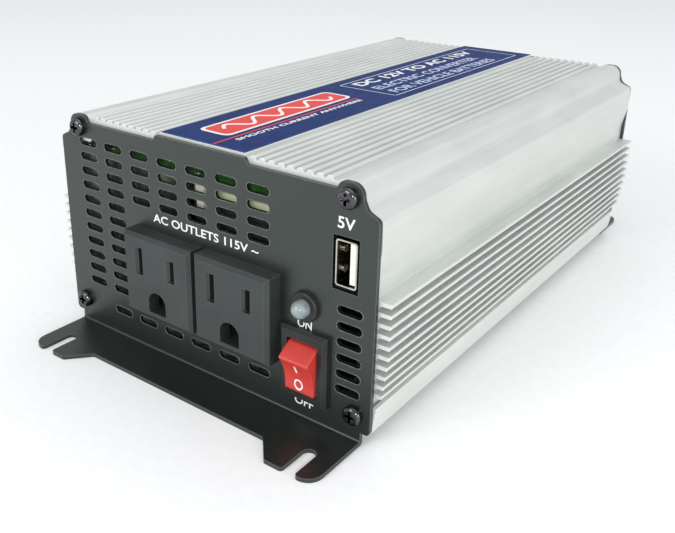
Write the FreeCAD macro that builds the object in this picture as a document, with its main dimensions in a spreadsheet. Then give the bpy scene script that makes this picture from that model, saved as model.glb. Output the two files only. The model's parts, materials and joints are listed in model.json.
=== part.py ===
import FreeCAD, Part
import math
import os
from types import SimpleNamespace

import Sketcher

# A finned power inverter.
# X runs across the front panel, Y from the front panel to the rear panel, Z up.
# The origin is on the ground, under the middle of the case.

Vector = FreeCAD.Vector
Rotation = FreeCAD.Rotation
Placement = FreeCAD.Placement

document = FreeCAD.newDocument("power_inverter")
sheet = document.addObject("Spreadsheet::Sheet", "sizes")
sub_parts = []


# ---------------------------------------------------------------- sizes


class Size:
    """A length: its value, and the expression that works it out from the sheet."""

    def __init__(self, value, text):
        self.value = float(value)
        self.text = text

    def __add__(self, other):
        other = as_size(other)
        return Size(self.value + other.value, f"({self.text} + {other.text})")

    def __sub__(self, other):
        other = as_size(other)
        return Size(self.value - other.value, f"({self.text} - {other.text})")

    def __mul__(self, factor):
        return Size(self.value * factor, f"({self.text} * {factor:.6f})")

    def __neg__(self):
        return Size(-self.value, f"(0 - {self.text})")

    def __radd__(self, other):
        return as_size(other) + self

    def __rsub__(self, other):
        return as_size(other) - self

    __rmul__ = __mul__


def as_size(number):
    """Gives a plain number the same form as a size."""
    return number if isinstance(number, Size) else Size(number, f"({number:.6f})")


DRIVING = {
    # the case
    "case_length": 184.5,
    "sheet_thickness": 1.2,
    "panel_half_width": 57.4,
    "panel_top": 68.7,
    "panel_band_top": 70.3,
    "panel_band_half_width": 16.3,
    "band_half_width": 15.4,
    "band_top": 71.0,
    "label_thickness": 0.2,
    "ear_across": 48.8,
    "ear_height": 67.05,
    "ear_radius": 3.9,
    "foot_screw_across": 52.4,
    "foot_screw_height": 8.9,
    # the fixing flanges
    "flange_half_width": 54.6,
    "flange_reach": 20.6,
    "flange_recess": 13.7,
    "fixing_slot_across": 47.1,
    "fixing_slot_width": 3.9,
    "fixing_slot_centre": 11.85,
    # the extruded housing
    "wall_outside": 56.3,
    "wall_inside": 54.8,
    "wall_foot": 6.0,
    "roof_inside": 66.8,
    "shoulder_height": 61.6,
    "fin_reach": 61.2,
    "fin_thickness": 1.0,
    "fin_pitch": 2.88,
    "fin_lowest": 15.9,
    "rib_first": 18.25,
    "rib_pitch": 3.01,
    "rib_top": 70.9,
    "rib_width": 1.85,
    "groove_floor": 69.9,
    # the board
    "board_bottom": 58.0,
    "board_thickness": 1.6,
    # the vents
    "vent_length": 7.75,
    "vent_width": 2.6,
    "vent_pitch_across": 11.03,
    "vent_pitch_up": 4.57,
    "vent_first_across": -45.32,
    "vent_top": 62.84,
    # the mains outlets
    "outlet_left_across": -13.05,
    "outlet_pitch": 28.0,
    "outlet_height": 28.5,
    "outlet_rim_width": 26.5,
    "outlet_rim_height": 25.6,
    "outlet_body_size": 23.6,
    "outlet_stand_out": 5.5,
    "blade_spacing": 12.7,
    "blade_height": 33.25,
    "ground_height": 21.3,
    # the switch
    "switch_across": 37.0,
    "switch_height": 17.8,
    "bezel_width": 15.0,
    "bezel_height": 21.0,
    "bezel_thickness": 2.2,
    "rocker_width": 9.3,
    "rocker_opening_width": 9.9,
    "rocker_opening_height": 15.4,
    "rocker_pivot_depth": 2.0,
    "trunnion_radius": 1.2,
    "trunnion_clearance": 0.05,
    # the lamp and the charging socket
    "lamp_across": 36.6,
    "lamp_height": 34.8,
    "lamp_radius": 2.45,
    "socket_across": 48.35,
    "socket_height": 49.7,
    "socket_shell_width": 6.3,
    "socket_shell_height": 12.4,
    "socket_window_width": 7.7,
    "socket_window_height": 14.5,
    # the fan
    "fan_across": 22.0,
    "fan_height": 38.0,
    "fan_size": 50.0,
    "fan_depth": 15.0,
    "fan_bore_radius": 23.6,
    "fan_blade_reach": 21.4,
    "fan_hub_radius": 12.0,
    "fan_shaft_radius": 1.5,
    "fan_running_clearance": 0.05,
    "fan_screw_spacing": 40.0,
    # the battery terminals
    "post_height": 38.0,
    "post_inner_across": -18.0,
    "post_outer_across": -42.0,
    "stud_radius": 3.0,
    "knob_radius": 8.5,
    "knob_length": 14.0,
    # fasteners
    "screw_hole_radius": 1.7,
    "screw_shank_radius": 1.35,
    "screw_head_radius": 2.75,
    "screw_head_height": 2.0,
    "screw_length": 8.0,
    "screw_port_radius": 1.45,
}

for row, (alias, value) in enumerate(DRIVING.items(), start=1):
    sheet.set(f"A{row}", alias)
    sheet.set(f"B{row}", str(value))
    sheet.setAlias(f"B{row}", alias)
document.recompute()

size = SimpleNamespace(**{alias: Size(value, f"sizes.{alias}") for alias, value in DRIVING.items()})

front_face = -size.case_length * 0.5
rear_face = size.case_length * 0.5
panel_inside_front = front_face + size.sheet_thickness
panel_inside_rear = rear_face - size.sheet_thickness
outlet_right_across = size.outlet_left_across + size.outlet_pitch


# ---------------------------------------------------------------- helpers


def bind(target, name, amount):
    """Sets a property, and ties it to the sheet where its size comes from there."""
    amount = as_size(amount)
    if "sizes." in amount.text:
        target.setExpression(name, amount.text)
    elif name.startswith("Placement."):
        target.setExpression(name, amount.text)
    else:
        setattr(target, name, amount.value)


def named(target, label):
    """Registers a finished sub-part under its own name."""
    target.Label = label
    sub_parts.append(target)
    return target


def new_body(name):
    return document.addObject("PartDesign::Body", name)


def new_sketch(body, name, plane, offset=0.0):
    """A sketch on one of the body's own origin planes, moved along the plane's normal."""
    support = next(part for part in body.Origin.OriginFeatures if part.Role == plane)
    made = body.newObject("Sketcher::SketchObject", name)
    made.AttachmentSupport = [(support, "")]
    made.MapMode = "FlatFace"
    offset = as_size(offset)
    if offset.value != 0.0:
        made.AttachmentOffset = Placement(Vector(0, 0, offset.value), Rotation())
        if "sizes." in offset.text:
            made.setExpression("AttachmentOffset.Base.z", offset.text)
    return made


def fix_distance(target, kind, edge, end, amount):
    """Fixes one coordinate of a point, or a radius, and ties it to the sheet."""
    if kind == "Radius":
        index = target.addConstraint(Sketcher.Constraint(kind, edge, amount.value))
    else:
        index = target.addConstraint(Sketcher.Constraint(kind, -1, 1, edge, end, amount.value))
    if "sizes." in amount.text:
        target.setExpression(f"Constraints[{index}]", amount.text)


def round_corner(before, corner, after, radius):
    """The two tangent points of a rounded corner, and the middle of its arc."""
    here = Vector(corner[0].value, corner[1].value, 0)
    back = (Vector(before[0].value, before[1].value, 0) - here).normalize()
    ahead = (Vector(after[0].value, after[1].value, 0) - here).normalize()
    half = back.getAngle(ahead) / 2
    reach = radius.value / math.tan(half)
    enter = [corner[0] + back.x * reach, corner[1] + back.y * reach]
    leave = [corner[0] + ahead.x * reach, corner[1] + ahead.y * reach]
    inward = (back + ahead).normalize()
    bend = here + inward * (radius.value / math.sin(half) - radius.value)
    return enter, bend, leave


def outline(target, corners):
    """A closed outline. A corner is (x, y), or (x, y, radius) where it is rounded."""
    corners = [[as_size(number) for number in corner] for corner in corners]
    stretches = []
    count = len(corners)
    for index, corner in enumerate(corners):
        if len(corner) == 2:
            stretches.append((corner, None, corner, None))
            continue
        before = corners[index - 1]
        after = corners[(index + 1) % count]
        enter, bend, leave = round_corner(before, corner, after, corner[2])
        stretches.append((enter, bend, leave, corner[2]))
    loop = []
    for index, (enter, bend, leave, radius) in enumerate(stretches):
        start = Vector(enter[0].value, enter[1].value, 0)
        stop = Vector(leave[0].value, leave[1].value, 0)
        if bend is not None:
            edge = target.addGeometry(Part.Arc(start, bend, stop), False)
            fix_distance(target, "Radius", edge, 0, radius)
            loop.append((edge, enter, leave))
        following = stretches[(index + 1) % count][0]
        finish = Vector(following[0].value, following[1].value, 0)
        if stop.distanceToPoint(finish) > 1e-6:
            edge = target.addGeometry(Part.LineSegment(stop, finish), False)
            loop.append((edge, leave, following))
    for index, (edge, start, _) in enumerate(loop):
        first = end_at(target, edge, start)
        previous, _, previous_stop = loop[index - 1]
        last = end_at(target, previous, previous_stop)
        target.addConstraint(Sketcher.Constraint("Coincident", previous, last, edge, first))
        fix_distance(target, "DistanceX", edge, first, start[0])
        fix_distance(target, "DistanceY", edge, first, start[1])


def end_at(target, edge, place):
    """Which end of an edge is at a place: 1 for its start, 2 for its end."""
    place = Vector(place[0].value, place[1].value, 0)
    gaps = [target.getPoint(edge, end).distanceToPoint(place) for end in (1, 2)]
    return 1 if gaps[0] <= gaps[1] else 2


def rectangle(target, across, up, width, height, radius=None):
    """A rectangle about its middle, with rounded corners where a radius is given."""
    across, up, width, height = (as_size(number) for number in (across, up, width, height))
    tail = () if radius is None else (radius,)
    outline(target, [
        (across - width * 0.5, up - height * 0.5, *tail),
        (across + width * 0.5, up - height * 0.5, *tail),
        (across + width * 0.5, up + height * 0.5, *tail),
        (across - width * 0.5, up + height * 0.5, *tail),
    ])


def ring(target, across, up, radius):
    """A circle with its middle and its radius fixed."""
    across, up, radius = as_size(across), as_size(up), as_size(radius)
    circle = Part.Circle(Vector(across.value, up.value, 0), Vector(0, 0, 1), radius.value)
    edge = target.addGeometry(circle, False)
    fix_distance(target, "DistanceX", edge, 3, across)
    fix_distance(target, "DistanceY", edge, 3, up)
    fix_distance(target, "Radius", edge, 0, radius)


def mirrored(right_half):
    """An outline's right half, followed by its mirror image on the left."""
    left_half = [(-as_size(corner[0]), *corner[1:]) for corner in reversed(right_half)]
    return right_half + left_half


def pad(body, name, profile, length, both_ways=False, backwards=False):
    made = body.newObject("PartDesign::Pad", name)
    made.Profile = profile
    bind(made, "Length", length)
    made.Midplane = both_ways
    made.Reversed = backwards
    return made


def pocket(body, name, profile, depth=None, backwards=False):
    """A pocket right through both ways, or of a set depth on one side of its sketch."""
    before = body.Shape.Volume if body.Shape else 0.0
    made = body.newObject("PartDesign::Pocket", name)
    made.Profile = profile
    if depth is None:
        made.Type = "ThroughAll"
        made.Midplane = True
    else:
        bind(made, "Length", depth)
        made.Reversed = not backwards
    document.recompute()
    removed = before - body.Shape.Volume
    print(f"{body.Name} {name} removes {removed:.2f} mm3")
    return made


def grid(body, name, feature, profile, columns, across, rows, up, mirror=False):
    """Repeats a feature in columns and rows, and in the middle plane of the case too if asked."""
    made = body.newObject("PartDesign::MultiTransform", name)
    steps = []
    for count, pitch, axis in ((columns, across, "H_Axis"), (rows, up, "V_Axis")):
        if count < 2:
            continue
        pitch = as_size(pitch)
        step = body.newObject("PartDesign::LinearPattern", f"{name}_{axis.lower()}")
        step.Direction = (profile, [axis])
        step.Reversed = pitch.value < 0
        step.Occurrences = count
        bind(step, "Length", (pitch if pitch.value > 0 else -pitch) * (count - 1))
        steps.append(step)
    if mirror:
        plane = next(part for part in body.Origin.OriginFeatures if part.Role == "YZ_Plane")
        step = body.newObject("PartDesign::Mirrored", f"{name}_mirror")
        step.MirrorPlane = (plane, [""])
        steps.append(step)
    made.Originals = [feature]
    made.Transformations = steps
    body.Tip = made
    document.recompute()
    return made


def polar(body, name, feature, profile, count):
    """Repeats a feature round the normal of its hub's sketch."""
    made = body.newObject("PartDesign::PolarPattern", name)
    made.Originals = [feature]
    made.Axis = (profile, ["N_Axis"])
    made.Angle = 360
    made.Occurrences = count
    body.Tip = made
    return made


def edges_where(shape, test):
    """The names of the edges whose middle passes a test."""
    names = []
    for index, edge in enumerate(shape.Edges, start=1):
        middle = edge.valueAt((edge.FirstParameter + edge.LastParameter) / 2)
        if test(edge, middle):
            names.append(f"Edge{index}")
    return names


def dress(body, kind, name, base, test, amount):
    """A fillet or a chamfer on the edges that pass a test."""
    document.recompute()
    chosen = edges_where(base.Shape, test)
    made = body.newObject(f"PartDesign::{kind}", name)
    made.Base = (base, chosen)
    bind(made, "Radius" if kind == "Fillet" else "Size", amount)
    return made


def block(name, low, high):
    """A box between two corners."""
    made = document.addObject("Part::Box", name)
    for side, axis, start, stop in zip(("Length", "Width", "Height"), "xyz", low, high):
        bind(made, side, as_size(stop) - start)
        bind(made, f"Placement.Base.{axis}", start)
    return made


FIN_COUNT = 10
RIB_COUNT = 9
ROCKER_TILT = 16.0
TURN_TO = {
    "x": Rotation(Vector(0, 1, 0), 90),
    "y": Rotation(Vector(1, 0, 0), -90),
    "z": Rotation(),
}


def rod(name, along, start, radius, length):
    """A round bar from a start point, along an axis."""
    made = document.addObject("Part::Cylinder", name)
    made.Placement = Placement(Vector(), TURN_TO[along])
    bind(made, "Radius", radius)
    bind(made, "Height", length)
    for axis, place in zip("xyz", start):
        bind(made, f"Placement.Base.{axis}", place)
    return made


def tube(name, along, start, radius, bore, length):
    """A round bar with a hole along it."""
    outside = rod(f"{name}_outside", along, start, radius, length)
    inside = rod(f"{name}_bore", along, start, bore, length)
    return cut(name, outside, [inside])


def torus(name, centre, ring_radius, wire_radius):
    """A ring of round wire that lies across Y."""
    made = document.addObject("Part::Torus", name)
    made.Placement = Placement(Vector(), TURN_TO["y"])
    bind(made, "Radius1", ring_radius)
    bind(made, "Radius2", wire_radius)
    for axis, place in zip("xyz", centre):
        bind(made, f"Placement.Base.{axis}", place)
    return made


def fuse(name, pieces):
    made = document.addObject("Part::MultiFuse", name)
    made.Shapes = pieces
    return made


def cut(name, base, tools):
    made = document.addObject("Part::Cut", name)
    made.Base = base
    made.Tool = tools[0] if len(tools) == 1 else fuse(f"{name}_tools", tools)
    return made


def group(name, pieces):
    made = document.addObject("Part::Compound", name)
    made.Links = pieces
    return made


def round_edges(name, base, radius, test):
    """A fillet on the edges of a primitive that pass a test."""
    document.recompute()
    made = document.addObject("Part::Fillet", name)
    made.Base = base
    chosen = [int(edge[4:]) for edge in edges_where(base.Shape, test)]
    made.Edges = [(edge, radius, radius) for edge in chosen]
    return made


def lead(name, points, bend_radius, wire_radius):
    """A round insulated wire along straight runs joined by tangent arcs."""
    places = [Vector(*(as_size(number).value for number in point)) for point in points]
    edges = []
    start = places[0]
    for before, corner, after in zip(places, places[1:], places[2:]):
        back = (before - corner).normalize()
        ahead = (after - corner).normalize()
        half = back.getAngle(ahead) / 2
        reach = bend_radius / math.tan(half)
        enter = corner + back * reach
        leave = corner + ahead * reach
        inward = (back + ahead).normalize()
        bend = corner + inward * (bend_radius / math.sin(half) - bend_radius)
        edges.append(Part.LineSegment(start, enter).toShape())
        edges.append(Part.Arc(enter, bend, leave).toShape())
        start = leave
    edges.append(Part.LineSegment(start, places[-1]).toShape())
    path = Part.Wire(edges)
    section = Part.Wire(Part.Circle(places[0], places[1] - places[0], wire_radius).toShape())
    made = document.addObject("Part::Feature", name)
    made.Shape = path.makePipeShell([section], True, False)
    made.Placement = Placement()
    print(f"{name} is {path.Length:.1f} mm long, bends at {bend_radius} mm")
    return made


# ---------------------------------------------------------------- the case


def make_housing():
    """The extruded aluminium top and sides, with its ribs, fins, screw ports and board grooves."""
    body = new_body("housing_body")
    length = size.case_length - 2 * size.sheet_thickness
    shell = new_sketch(body, "housing_section", "XZ_Plane")
    port_inside = size.ear_across - size.ear_radius
    outline(shell, mirrored([
        (size.band_half_width, size.band_top, 0.3),
        (size.band_half_width + 0.5, size.groove_floor, 0.3),
        (size.ear_across - 3.8, size.groove_floor),
        (size.ear_across - 2.6, size.rib_top, 1.4),
        (size.ear_across + 3.4, size.rib_top, 3.4),
        (size.ear_across + 4.2, size.shoulder_height + 3.2, 2.6),
        (size.panel_half_width + 0.1, size.shoulder_height + 1.6, 1.2),
        (size.panel_half_width + 0.4, size.shoulder_height - 6.0, 6.0),
        (size.wall_outside, size.shoulder_height - 14.0, 12.0),
        (size.wall_outside, size.wall_foot),
        (size.wall_inside, size.wall_foot),
        (size.wall_inside, size.roof_inside - 4.2, 1.0),
        (port_inside, size.roof_inside - 4.2, 1.5),
        (port_inside, size.roof_inside, 1.0),
    ]))
    pad(body, "housing_shell", shell, length, both_ways=True)

    tip = size.fin_thickness * 0.5
    fin = new_sketch(body, "fin_section", "XZ_Plane")
    outline(fin, [
        (size.wall_outside - 0.5, size.fin_lowest - tip),
        (size.fin_reach, size.fin_lowest - tip, 0.35),
        (size.fin_reach, size.fin_lowest + tip, 0.35),
        (size.wall_outside - 0.5, size.fin_lowest + tip),
    ])
    fin_pad = pad(body, "fin", fin, length, both_ways=True)
    grid(body, "fins", fin_pad, fin, 1, 0, FIN_COUNT, size.fin_pitch, mirror=True)

    rib = new_sketch(body, "rib_section", "XZ_Plane")
    rib_half = size.rib_width * 0.5
    outline(rib, [
        (size.rib_first - rib_half, size.groove_floor - 0.5),
        (size.rib_first + rib_half, size.groove_floor - 0.5),
        (size.rib_first + rib_half, size.rib_top, 0.7),
        (size.rib_first - rib_half, size.rib_top, 0.7),
    ])
    rib_pad = pad(body, "rib", rib, length, both_ways=True)
    grid(body, "ribs", rib_pad, rib, RIB_COUNT, size.rib_pitch, 1, 0, mirror=True)

    ledge = new_sketch(body, "board_ledge_section", "XZ_Plane")
    board_top = size.board_bottom + size.board_thickness
    for low in (size.board_bottom - 1.4, board_top + 0.2):
        rectangle(ledge, size.wall_inside - 0.75, low + 0.6, 2.5, 1.2)
    ledges = pad(body, "board_ledges", ledge, length, both_ways=True)
    grid(body, "board_grooves", ledges, ledge, 1, 0, 1, 0, mirror=True)

    taper = new_sketch(body, "fin_taper", "XZ_Plane")
    outline(taper, [
        (size.fin_reach - 1.9, size.fin_lowest - 2),
        (size.fin_reach + 2, size.fin_lowest - 2),
        (size.fin_reach + 2, size.fin_lowest + 4.4 * size.fin_pitch),
        (size.fin_reach, size.fin_lowest + 4.4 * size.fin_pitch),
    ])
    trim = pocket(body, "trimmed_fins", taper)
    grid(body, "trimmed_fins_both_sides", trim, taper, 1, 0, 1, 0, mirror=True)

    ports = new_sketch(body, "screw_port_section", "XZ_Plane")
    for side in (-1, 1):
        ring(ports, side * size.ear_across, size.ear_height, size.screw_port_radius)
    pocket(body, "screw_ports", ports)
    return named(body, "housing")


def make_bottom_cover():
    """The extruded aluminium floor, whose rails stand up outside the housing's walls."""
    body = new_body("bottom_cover_body")
    length = size.case_length - 2 * size.sheet_thickness
    floor_top = size.wall_foot - 0.2
    section = new_sketch(body, "floor_section", "XZ_Plane")
    outline(section, mirrored([
        (size.wall_outside + 0.8, floor_top - 1.8, 0.6),
        (size.wall_outside + 2.0, size.wall_foot + 6.0, 0.3),
        (size.wall_outside + 0.6, size.wall_foot + 6.0, 0.3),
        (size.wall_outside + 0.2, floor_top),
    ]))
    pad(body, "floor", section, length, both_ways=True)
    port = new_sketch(body, "port_section", "XZ_Plane")
    rectangle(port, size.foot_screw_across, size.foot_screw_height - 0.5, 4.4, 5.4, 0.8)
    port_pad = pad(body, "port", port, length, both_ways=True)
    grid(body, "ports", port_pad, port, 1, 0, 1, 0, mirror=True)
    bore = new_sketch(body, "port_bore", "XZ_Plane")
    for side in (-1, 1):
        ring(bore, side * size.foot_screw_across, size.foot_screw_height, size.screw_port_radius)
    pocket(body, "port_bores", bore)
    return named(body, "bottom_cover")


def panel_corners():
    """The right half of an end panel's outline, from the bottom up."""
    bottom = size.wall_foot - 2.0
    ear_right = size.ear_across + size.ear_radius
    return [
        (size.flange_half_width, 0),
        (size.flange_half_width, bottom),
        (size.panel_half_width, bottom, 1.4),
        (size.panel_half_width, size.shoulder_height + 1.5, 1.6),
        (ear_right + 1.2, size.shoulder_height + 3.1, 2.2),
        (ear_right + 0.1, size.ear_height, 2.0),
        (ear_right - 0.4, size.ear_height + size.ear_radius, 3.2),
        (size.ear_across - size.ear_radius + 1.0, size.ear_height + size.ear_radius, 2.2),
        (size.ear_across - size.ear_radius + 0.4, size.panel_top, 1.0),
        (size.panel_band_half_width + 0.8, size.panel_top, 0.4),
        (size.panel_band_half_width, size.panel_band_top, 0.4),
    ]


def flange_corners(face, outward):
    """The right half of a fixing flange, from its root to the middle of its edge."""
    half_slot = size.fixing_slot_width * 0.5
    slot_end = size.fixing_slot_centre - half_slot
    corners = [
        (size.flange_half_width, -1.0),
        (size.flange_half_width, size.flange_reach, 4.5),
        (size.fixing_slot_across + half_slot, size.flange_reach, 1.0),
        (size.fixing_slot_across + half_slot, slot_end, 1.95),
        (size.fixing_slot_across - half_slot, slot_end, 1.95),
        (size.fixing_slot_across - half_slot, size.flange_reach, 1.0),
        (39.5, size.flange_reach, 1.0),
        (33.5, size.flange_recess, 1.0),
    ]
    return [(corner[0], face + outward * as_size(corner[1]), *corner[2:]) for corner in corners]


def make_panel(name, face, outward):
    """An end panel: a steel sheet folded outwards at the bottom into a slotted flange."""
    body = new_body(f"{name}_body")
    sheet_profile = new_sketch(body, f"{name}_outline", "XZ_Plane", -face)
    outline(sheet_profile, mirrored(panel_corners()))
    upright = pad(body, f"{name}_sheet", sheet_profile, size.sheet_thickness, backwards=outward < 0)
    foot = new_sketch(body, f"{name}_flange_outline", "XY_Plane")
    right_half = flange_corners(face, outward)
    outline(foot, mirrored(right_half))
    pad(body, f"{name}_flange", foot, size.sheet_thickness)
    inner_fold = size.sheet_thickness.value

    def at_inner_fold(edge, middle):
        straight = abs(edge.BoundBox.XLength) > 50 and edge.BoundBox.ZLength < 0.01
        near = abs(middle.y - face.value) < 0.01 and abs(middle.z - inner_fold) < 0.01
        return straight and near

    def at_outer_fold(edge, middle):
        straight = abs(edge.BoundBox.XLength) > 50 and edge.BoundBox.ZLength < 0.01
        behind = face.value - outward * inner_fold
        return straight and abs(middle.y - behind) < 0.01 and abs(middle.z) < 0.01

    inside = dress(body, "Fillet", f"{name}_inner_fold", body.Tip, at_inner_fold, 0.7)
    dress(body, "Fillet", f"{name}_outer_fold", inside, at_outer_fold, 1.1)
    document.recompute()
    return body


def slots(body, name, across, up, columns, pitch_across, rows, pitch_up):
    """A grid of round-ended ventilation slots through a panel."""
    profile = new_sketch(body, f"{name}_slot", "XZ_Plane")
    rectangle(profile, across, up, size.vent_length, size.vent_width, size.vent_width * 0.5 - 0.001)
    first = pocket(body, f"{name}_first", profile)
    grid(body, f"{name}_grid", first, profile, columns, pitch_across, rows, pitch_up)


def screw_holes(body, name):
    """The four corner holes that hold a panel to the housing and the floor."""
    profile = new_sketch(body, f"{name}_screw_holes", "XZ_Plane")
    for side in (-1, 1):
        ring(profile, side * size.ear_across, size.ear_height, size.screw_hole_radius)
        ring(profile, side * size.foot_screw_across, size.foot_screw_height, size.screw_hole_radius)
    pocket(body, f"{name}_screw_hole_cut", profile)


def make_front_panel():
    """The front panel, with its vents and the openings for outlets, lamp, switch and socket."""
    body = make_panel("front_panel", front_face, -1)
    left, top = size.vent_first_across, size.vent_top
    across, down = size.vent_pitch_across, -size.vent_pitch_up
    slots(body, "side_vent", left, top, 2, across, 11, down)
    slots(body, "top_vent", left + 2 * across, top, 5, across, 4, down)
    slots(body, "low_vent", left + across, 9.8, 6, across, 1, 0)
    slots(body, "right_vent", 50.14, 37.37, 1, 0, 6, -4.54)
    openings = new_sketch(body, "front_panel_openings", "XZ_Plane")
    for middle in (size.outlet_left_across, outlet_right_across):
        rectangle(openings, middle, size.outlet_height, size.outlet_body_size + 0.4,
                  size.outlet_body_size + 0.4, 0.5)
    rectangle(openings, size.switch_across, size.switch_height, 13.4, 19.4, 0.5)
    rectangle(openings, size.socket_across, size.socket_height, size.socket_window_width,
              size.socket_window_height, 0.3)
    ring(openings, size.lamp_across, size.lamp_height, 3.5)
    pocket(body, "front_panel_opening_cut", openings)
    screw_holes(body, "front_panel")
    return named(body, "front_panel")


def make_rear_panel():
    """The rear panel, with the fan's opening, the terminals' holes and two rows of vents."""
    body = make_panel("rear_panel", rear_face, 1)
    slots(body, "high_vent", -46.0, 60.0, 4, size.vent_pitch_across, 2, -size.vent_pitch_up)
    slots(body, "low_vent", -46.0, 20.0, 4, size.vent_pitch_across, 2, -size.vent_pitch_up)
    openings = new_sketch(body, "rear_panel_openings", "XZ_Plane")
    ring(openings, size.fan_across, size.fan_height, size.fan_bore_radius - 0.4)
    for side in (-0.5, 0.5):
        for rise in (-0.5, 0.5):
            ring(openings, size.fan_across + side * size.fan_screw_spacing,
                 size.fan_height + rise * size.fan_screw_spacing, size.screw_hole_radius)
    for across in (size.post_inner_across, size.post_outer_across):
        ring(openings, across, size.post_height, 5.2)
    ring(openings, -30.0, 50.0, 2.1)
    pocket(body, "rear_panel_opening_cut", openings)
    screw_holes(body, "rear_panel")
    return named(body, "rear_panel")


# ---------------------------------------------------------------- fasteners


def pan_screw(name, across, up, seat, outward, length):
    """A pan head screw with a cross recess, standing on its seat."""
    inward = -outward
    shank_start = seat if inward > 0 else seat - length
    shank = rod(f"{name}_shank", "y", (across, shank_start, up), size.screw_shank_radius, length)
    head_start = seat if outward > 0 else seat - size.screw_head_height
    head = rod(f"{name}_head", "y", (across, head_start, up), size.screw_head_radius,
               size.screw_head_height)
    top = seat + outward * size.screw_head_height

    def at_rim(edge, middle):
        return abs(middle.y - top.value) < 0.01 and edge.isClosed()

    domed = round_edges(f"{name}_dome", head, 1.1, at_rim)
    recess = []
    reach, half_width, depth = 1.55, 0.42, 1.3
    low = top - depth if outward > 0 else top - 0.2
    high = top + 0.2 if outward > 0 else top + depth
    recess.append(block(f"{name}_cross_wide", (across - reach, low, up - half_width),
                        (across + reach, high, up + half_width)))
    recess.append(block(f"{name}_cross_tall", (across - half_width, low, up - reach),
                        (across + half_width, high, up + reach)))
    return cut(name, fuse(f"{name}_blank", [shank, domed]), recess)


def make_panel_screws(label, seat, outward):
    """Four screws: two through a panel's ears into the housing, two into the floor."""
    places = []
    for side in (-1, 1):
        places.append((side * size.ear_across, size.ear_height))
        places.append((side * size.foot_screw_across, size.foot_screw_height))
    screws = [
        pan_screw(f"{label}_{index}", across, up, seat, outward, size.screw_length)
        for index, (across, up) in enumerate(places, start=1)
    ]
    return named(group(f"{label}_set", screws), label)


# ---------------------------------------------------------------- mains outlets


def make_outlet(side, across):
    """A snap-in outlet: the face with its rim and sleeve, the rear cap, and brass contacts."""
    body = new_body(f"outlet_{side}_body")
    rim = new_sketch(body, f"outlet_{side}_rim", "XZ_Plane", -front_face)
    rectangle(rim, across, size.outlet_height, size.outlet_rim_width, size.outlet_rim_height)
    rim_pad = pad(body, f"outlet_{side}_rim_block", rim, size.outlet_stand_out)
    face = (front_face - size.outlet_stand_out).value

    def at_front(edge, middle):
        return abs(middle.y - face) < 0.01

    dress(body, "Chamfer", f"outlet_{side}_bevel", rim_pad, at_front, 1.05)
    sleeve = new_sketch(body, f"outlet_{side}_sleeve_outline", "XZ_Plane", -front_face)
    rectangle(sleeve, across, size.outlet_height, size.outlet_body_size, size.outlet_body_size, 0.5)
    pad(body, f"outlet_{side}_sleeve", sleeve, 17.0, backwards=True)
    document.recompute()
    hollow = new_sketch(body, f"outlet_{side}_hollow_outline", "XZ_Plane", -(front_face + 17.0))
    inner = size.outlet_body_size - 2.0
    rectangle(hollow, across, size.outlet_height, inner, inner, 0.5)
    pocket(body, f"outlet_{side}_hollow", hollow, 18.5, backwards=False)
    mouths = new_sketch(body, f"outlet_{side}_mouths", "XZ_Plane", -(front_face - 8.0))
    half_spacing = size.blade_spacing * 0.5
    rectangle(mouths, across - half_spacing, size.blade_height, 2.4, 8.6)
    rectangle(mouths, across + half_spacing, size.blade_height, 2.4, 7.0)
    outline(mouths, [
        (across - 3.5, size.ground_height - 3.4),
        (across + 3.5, size.ground_height - 3.4),
        (across + 3.5, size.ground_height + 3.5, 3.499),
        (across - 3.5, size.ground_height + 3.5, 3.499),
    ])
    pocket(body, f"outlet_{side}_mouth_cut", mouths, 12.0, backwards=True)

    left_edges = [across.value + hand * half_spacing.value - 1.2 for hand in (-1, 1)]

    def at_blade_mouth(edge, middle):
        upright = edge.BoundBox.ZLength > 5.0 and abs(middle.y - face) < 0.01
        return upright and min(abs(middle.x - left) for left in left_edges) < 0.05

    dress(body, "Chamfer", f"outlet_{side}_lead_in", body.Tip, at_blade_mouth, 0.8)
    named(body, f"outlet_{side}_face")

    back = front_face + 17.0
    half_body = size.outlet_body_size * 0.5
    cap = block(f"outlet_{side}_cap_plate", (across - half_body, back, size.outlet_height - half_body),
                (across + half_body, back + 2.5, size.outlet_height + half_body))
    plug_half = inner * 0.5 - 0.2
    step = block(f"outlet_{side}_cap_step",
                 (across - plug_half, back - 2.0, size.outlet_height - plug_half),
                 (across + plug_half, back, size.outlet_height + plug_half))
    tails = []
    tail_places = (
        (across - half_spacing, size.blade_height),
        (across + half_spacing, size.blade_height),
        (across, size.ground_height),
    )
    for number, (place, up) in enumerate(tail_places):
        tails.append(block(f"outlet_{side}_tail_slot_{number}", (place - 0.5, back - 3.0, up - 2.6),
                           (place + 0.5, back + 3.0, up + 2.6)))
    cap_solid = fuse(f"outlet_{side}_cap_blank", [cap, step])
    named(cut(f"outlet_{side}_cap_cut", cap_solid, tails), f"outlet_{side}_cap")

    contacts = []
    for number, (place, up) in enumerate(tail_places):
        half_gap = 3.75 if number == 2 else 1.35
        height = 2.6
        start = front_face + 2.0
        bridge = back - 3.2
        leaves = [
            block(f"outlet_{side}_leaf_{number}_{hand}",
                  (place + hand * (half_gap + 0.25) - 0.25, start, up - height),
                  (place + hand * (half_gap + 0.25) + 0.25, bridge, up + height))
            for hand in (-1, 1)
        ]
        strap = block(f"outlet_{side}_strap_{number}", (place - half_gap - 0.5, bridge, up - height),
                      (place + half_gap + 0.5, bridge + 0.5, up + height))
        tail = block(f"outlet_{side}_tab_{number}", (place - 0.4, bridge + 0.5, up - 2.4),
                     (place + 0.4, back + 9.0, up + 2.4))
        contacts.append(fuse(f"outlet_{side}_contact_{number}", [*leaves, strap, tail]))
    named(group(f"outlet_{side}_contact_set", contacts), f"outlet_{side}_contacts")


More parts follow.
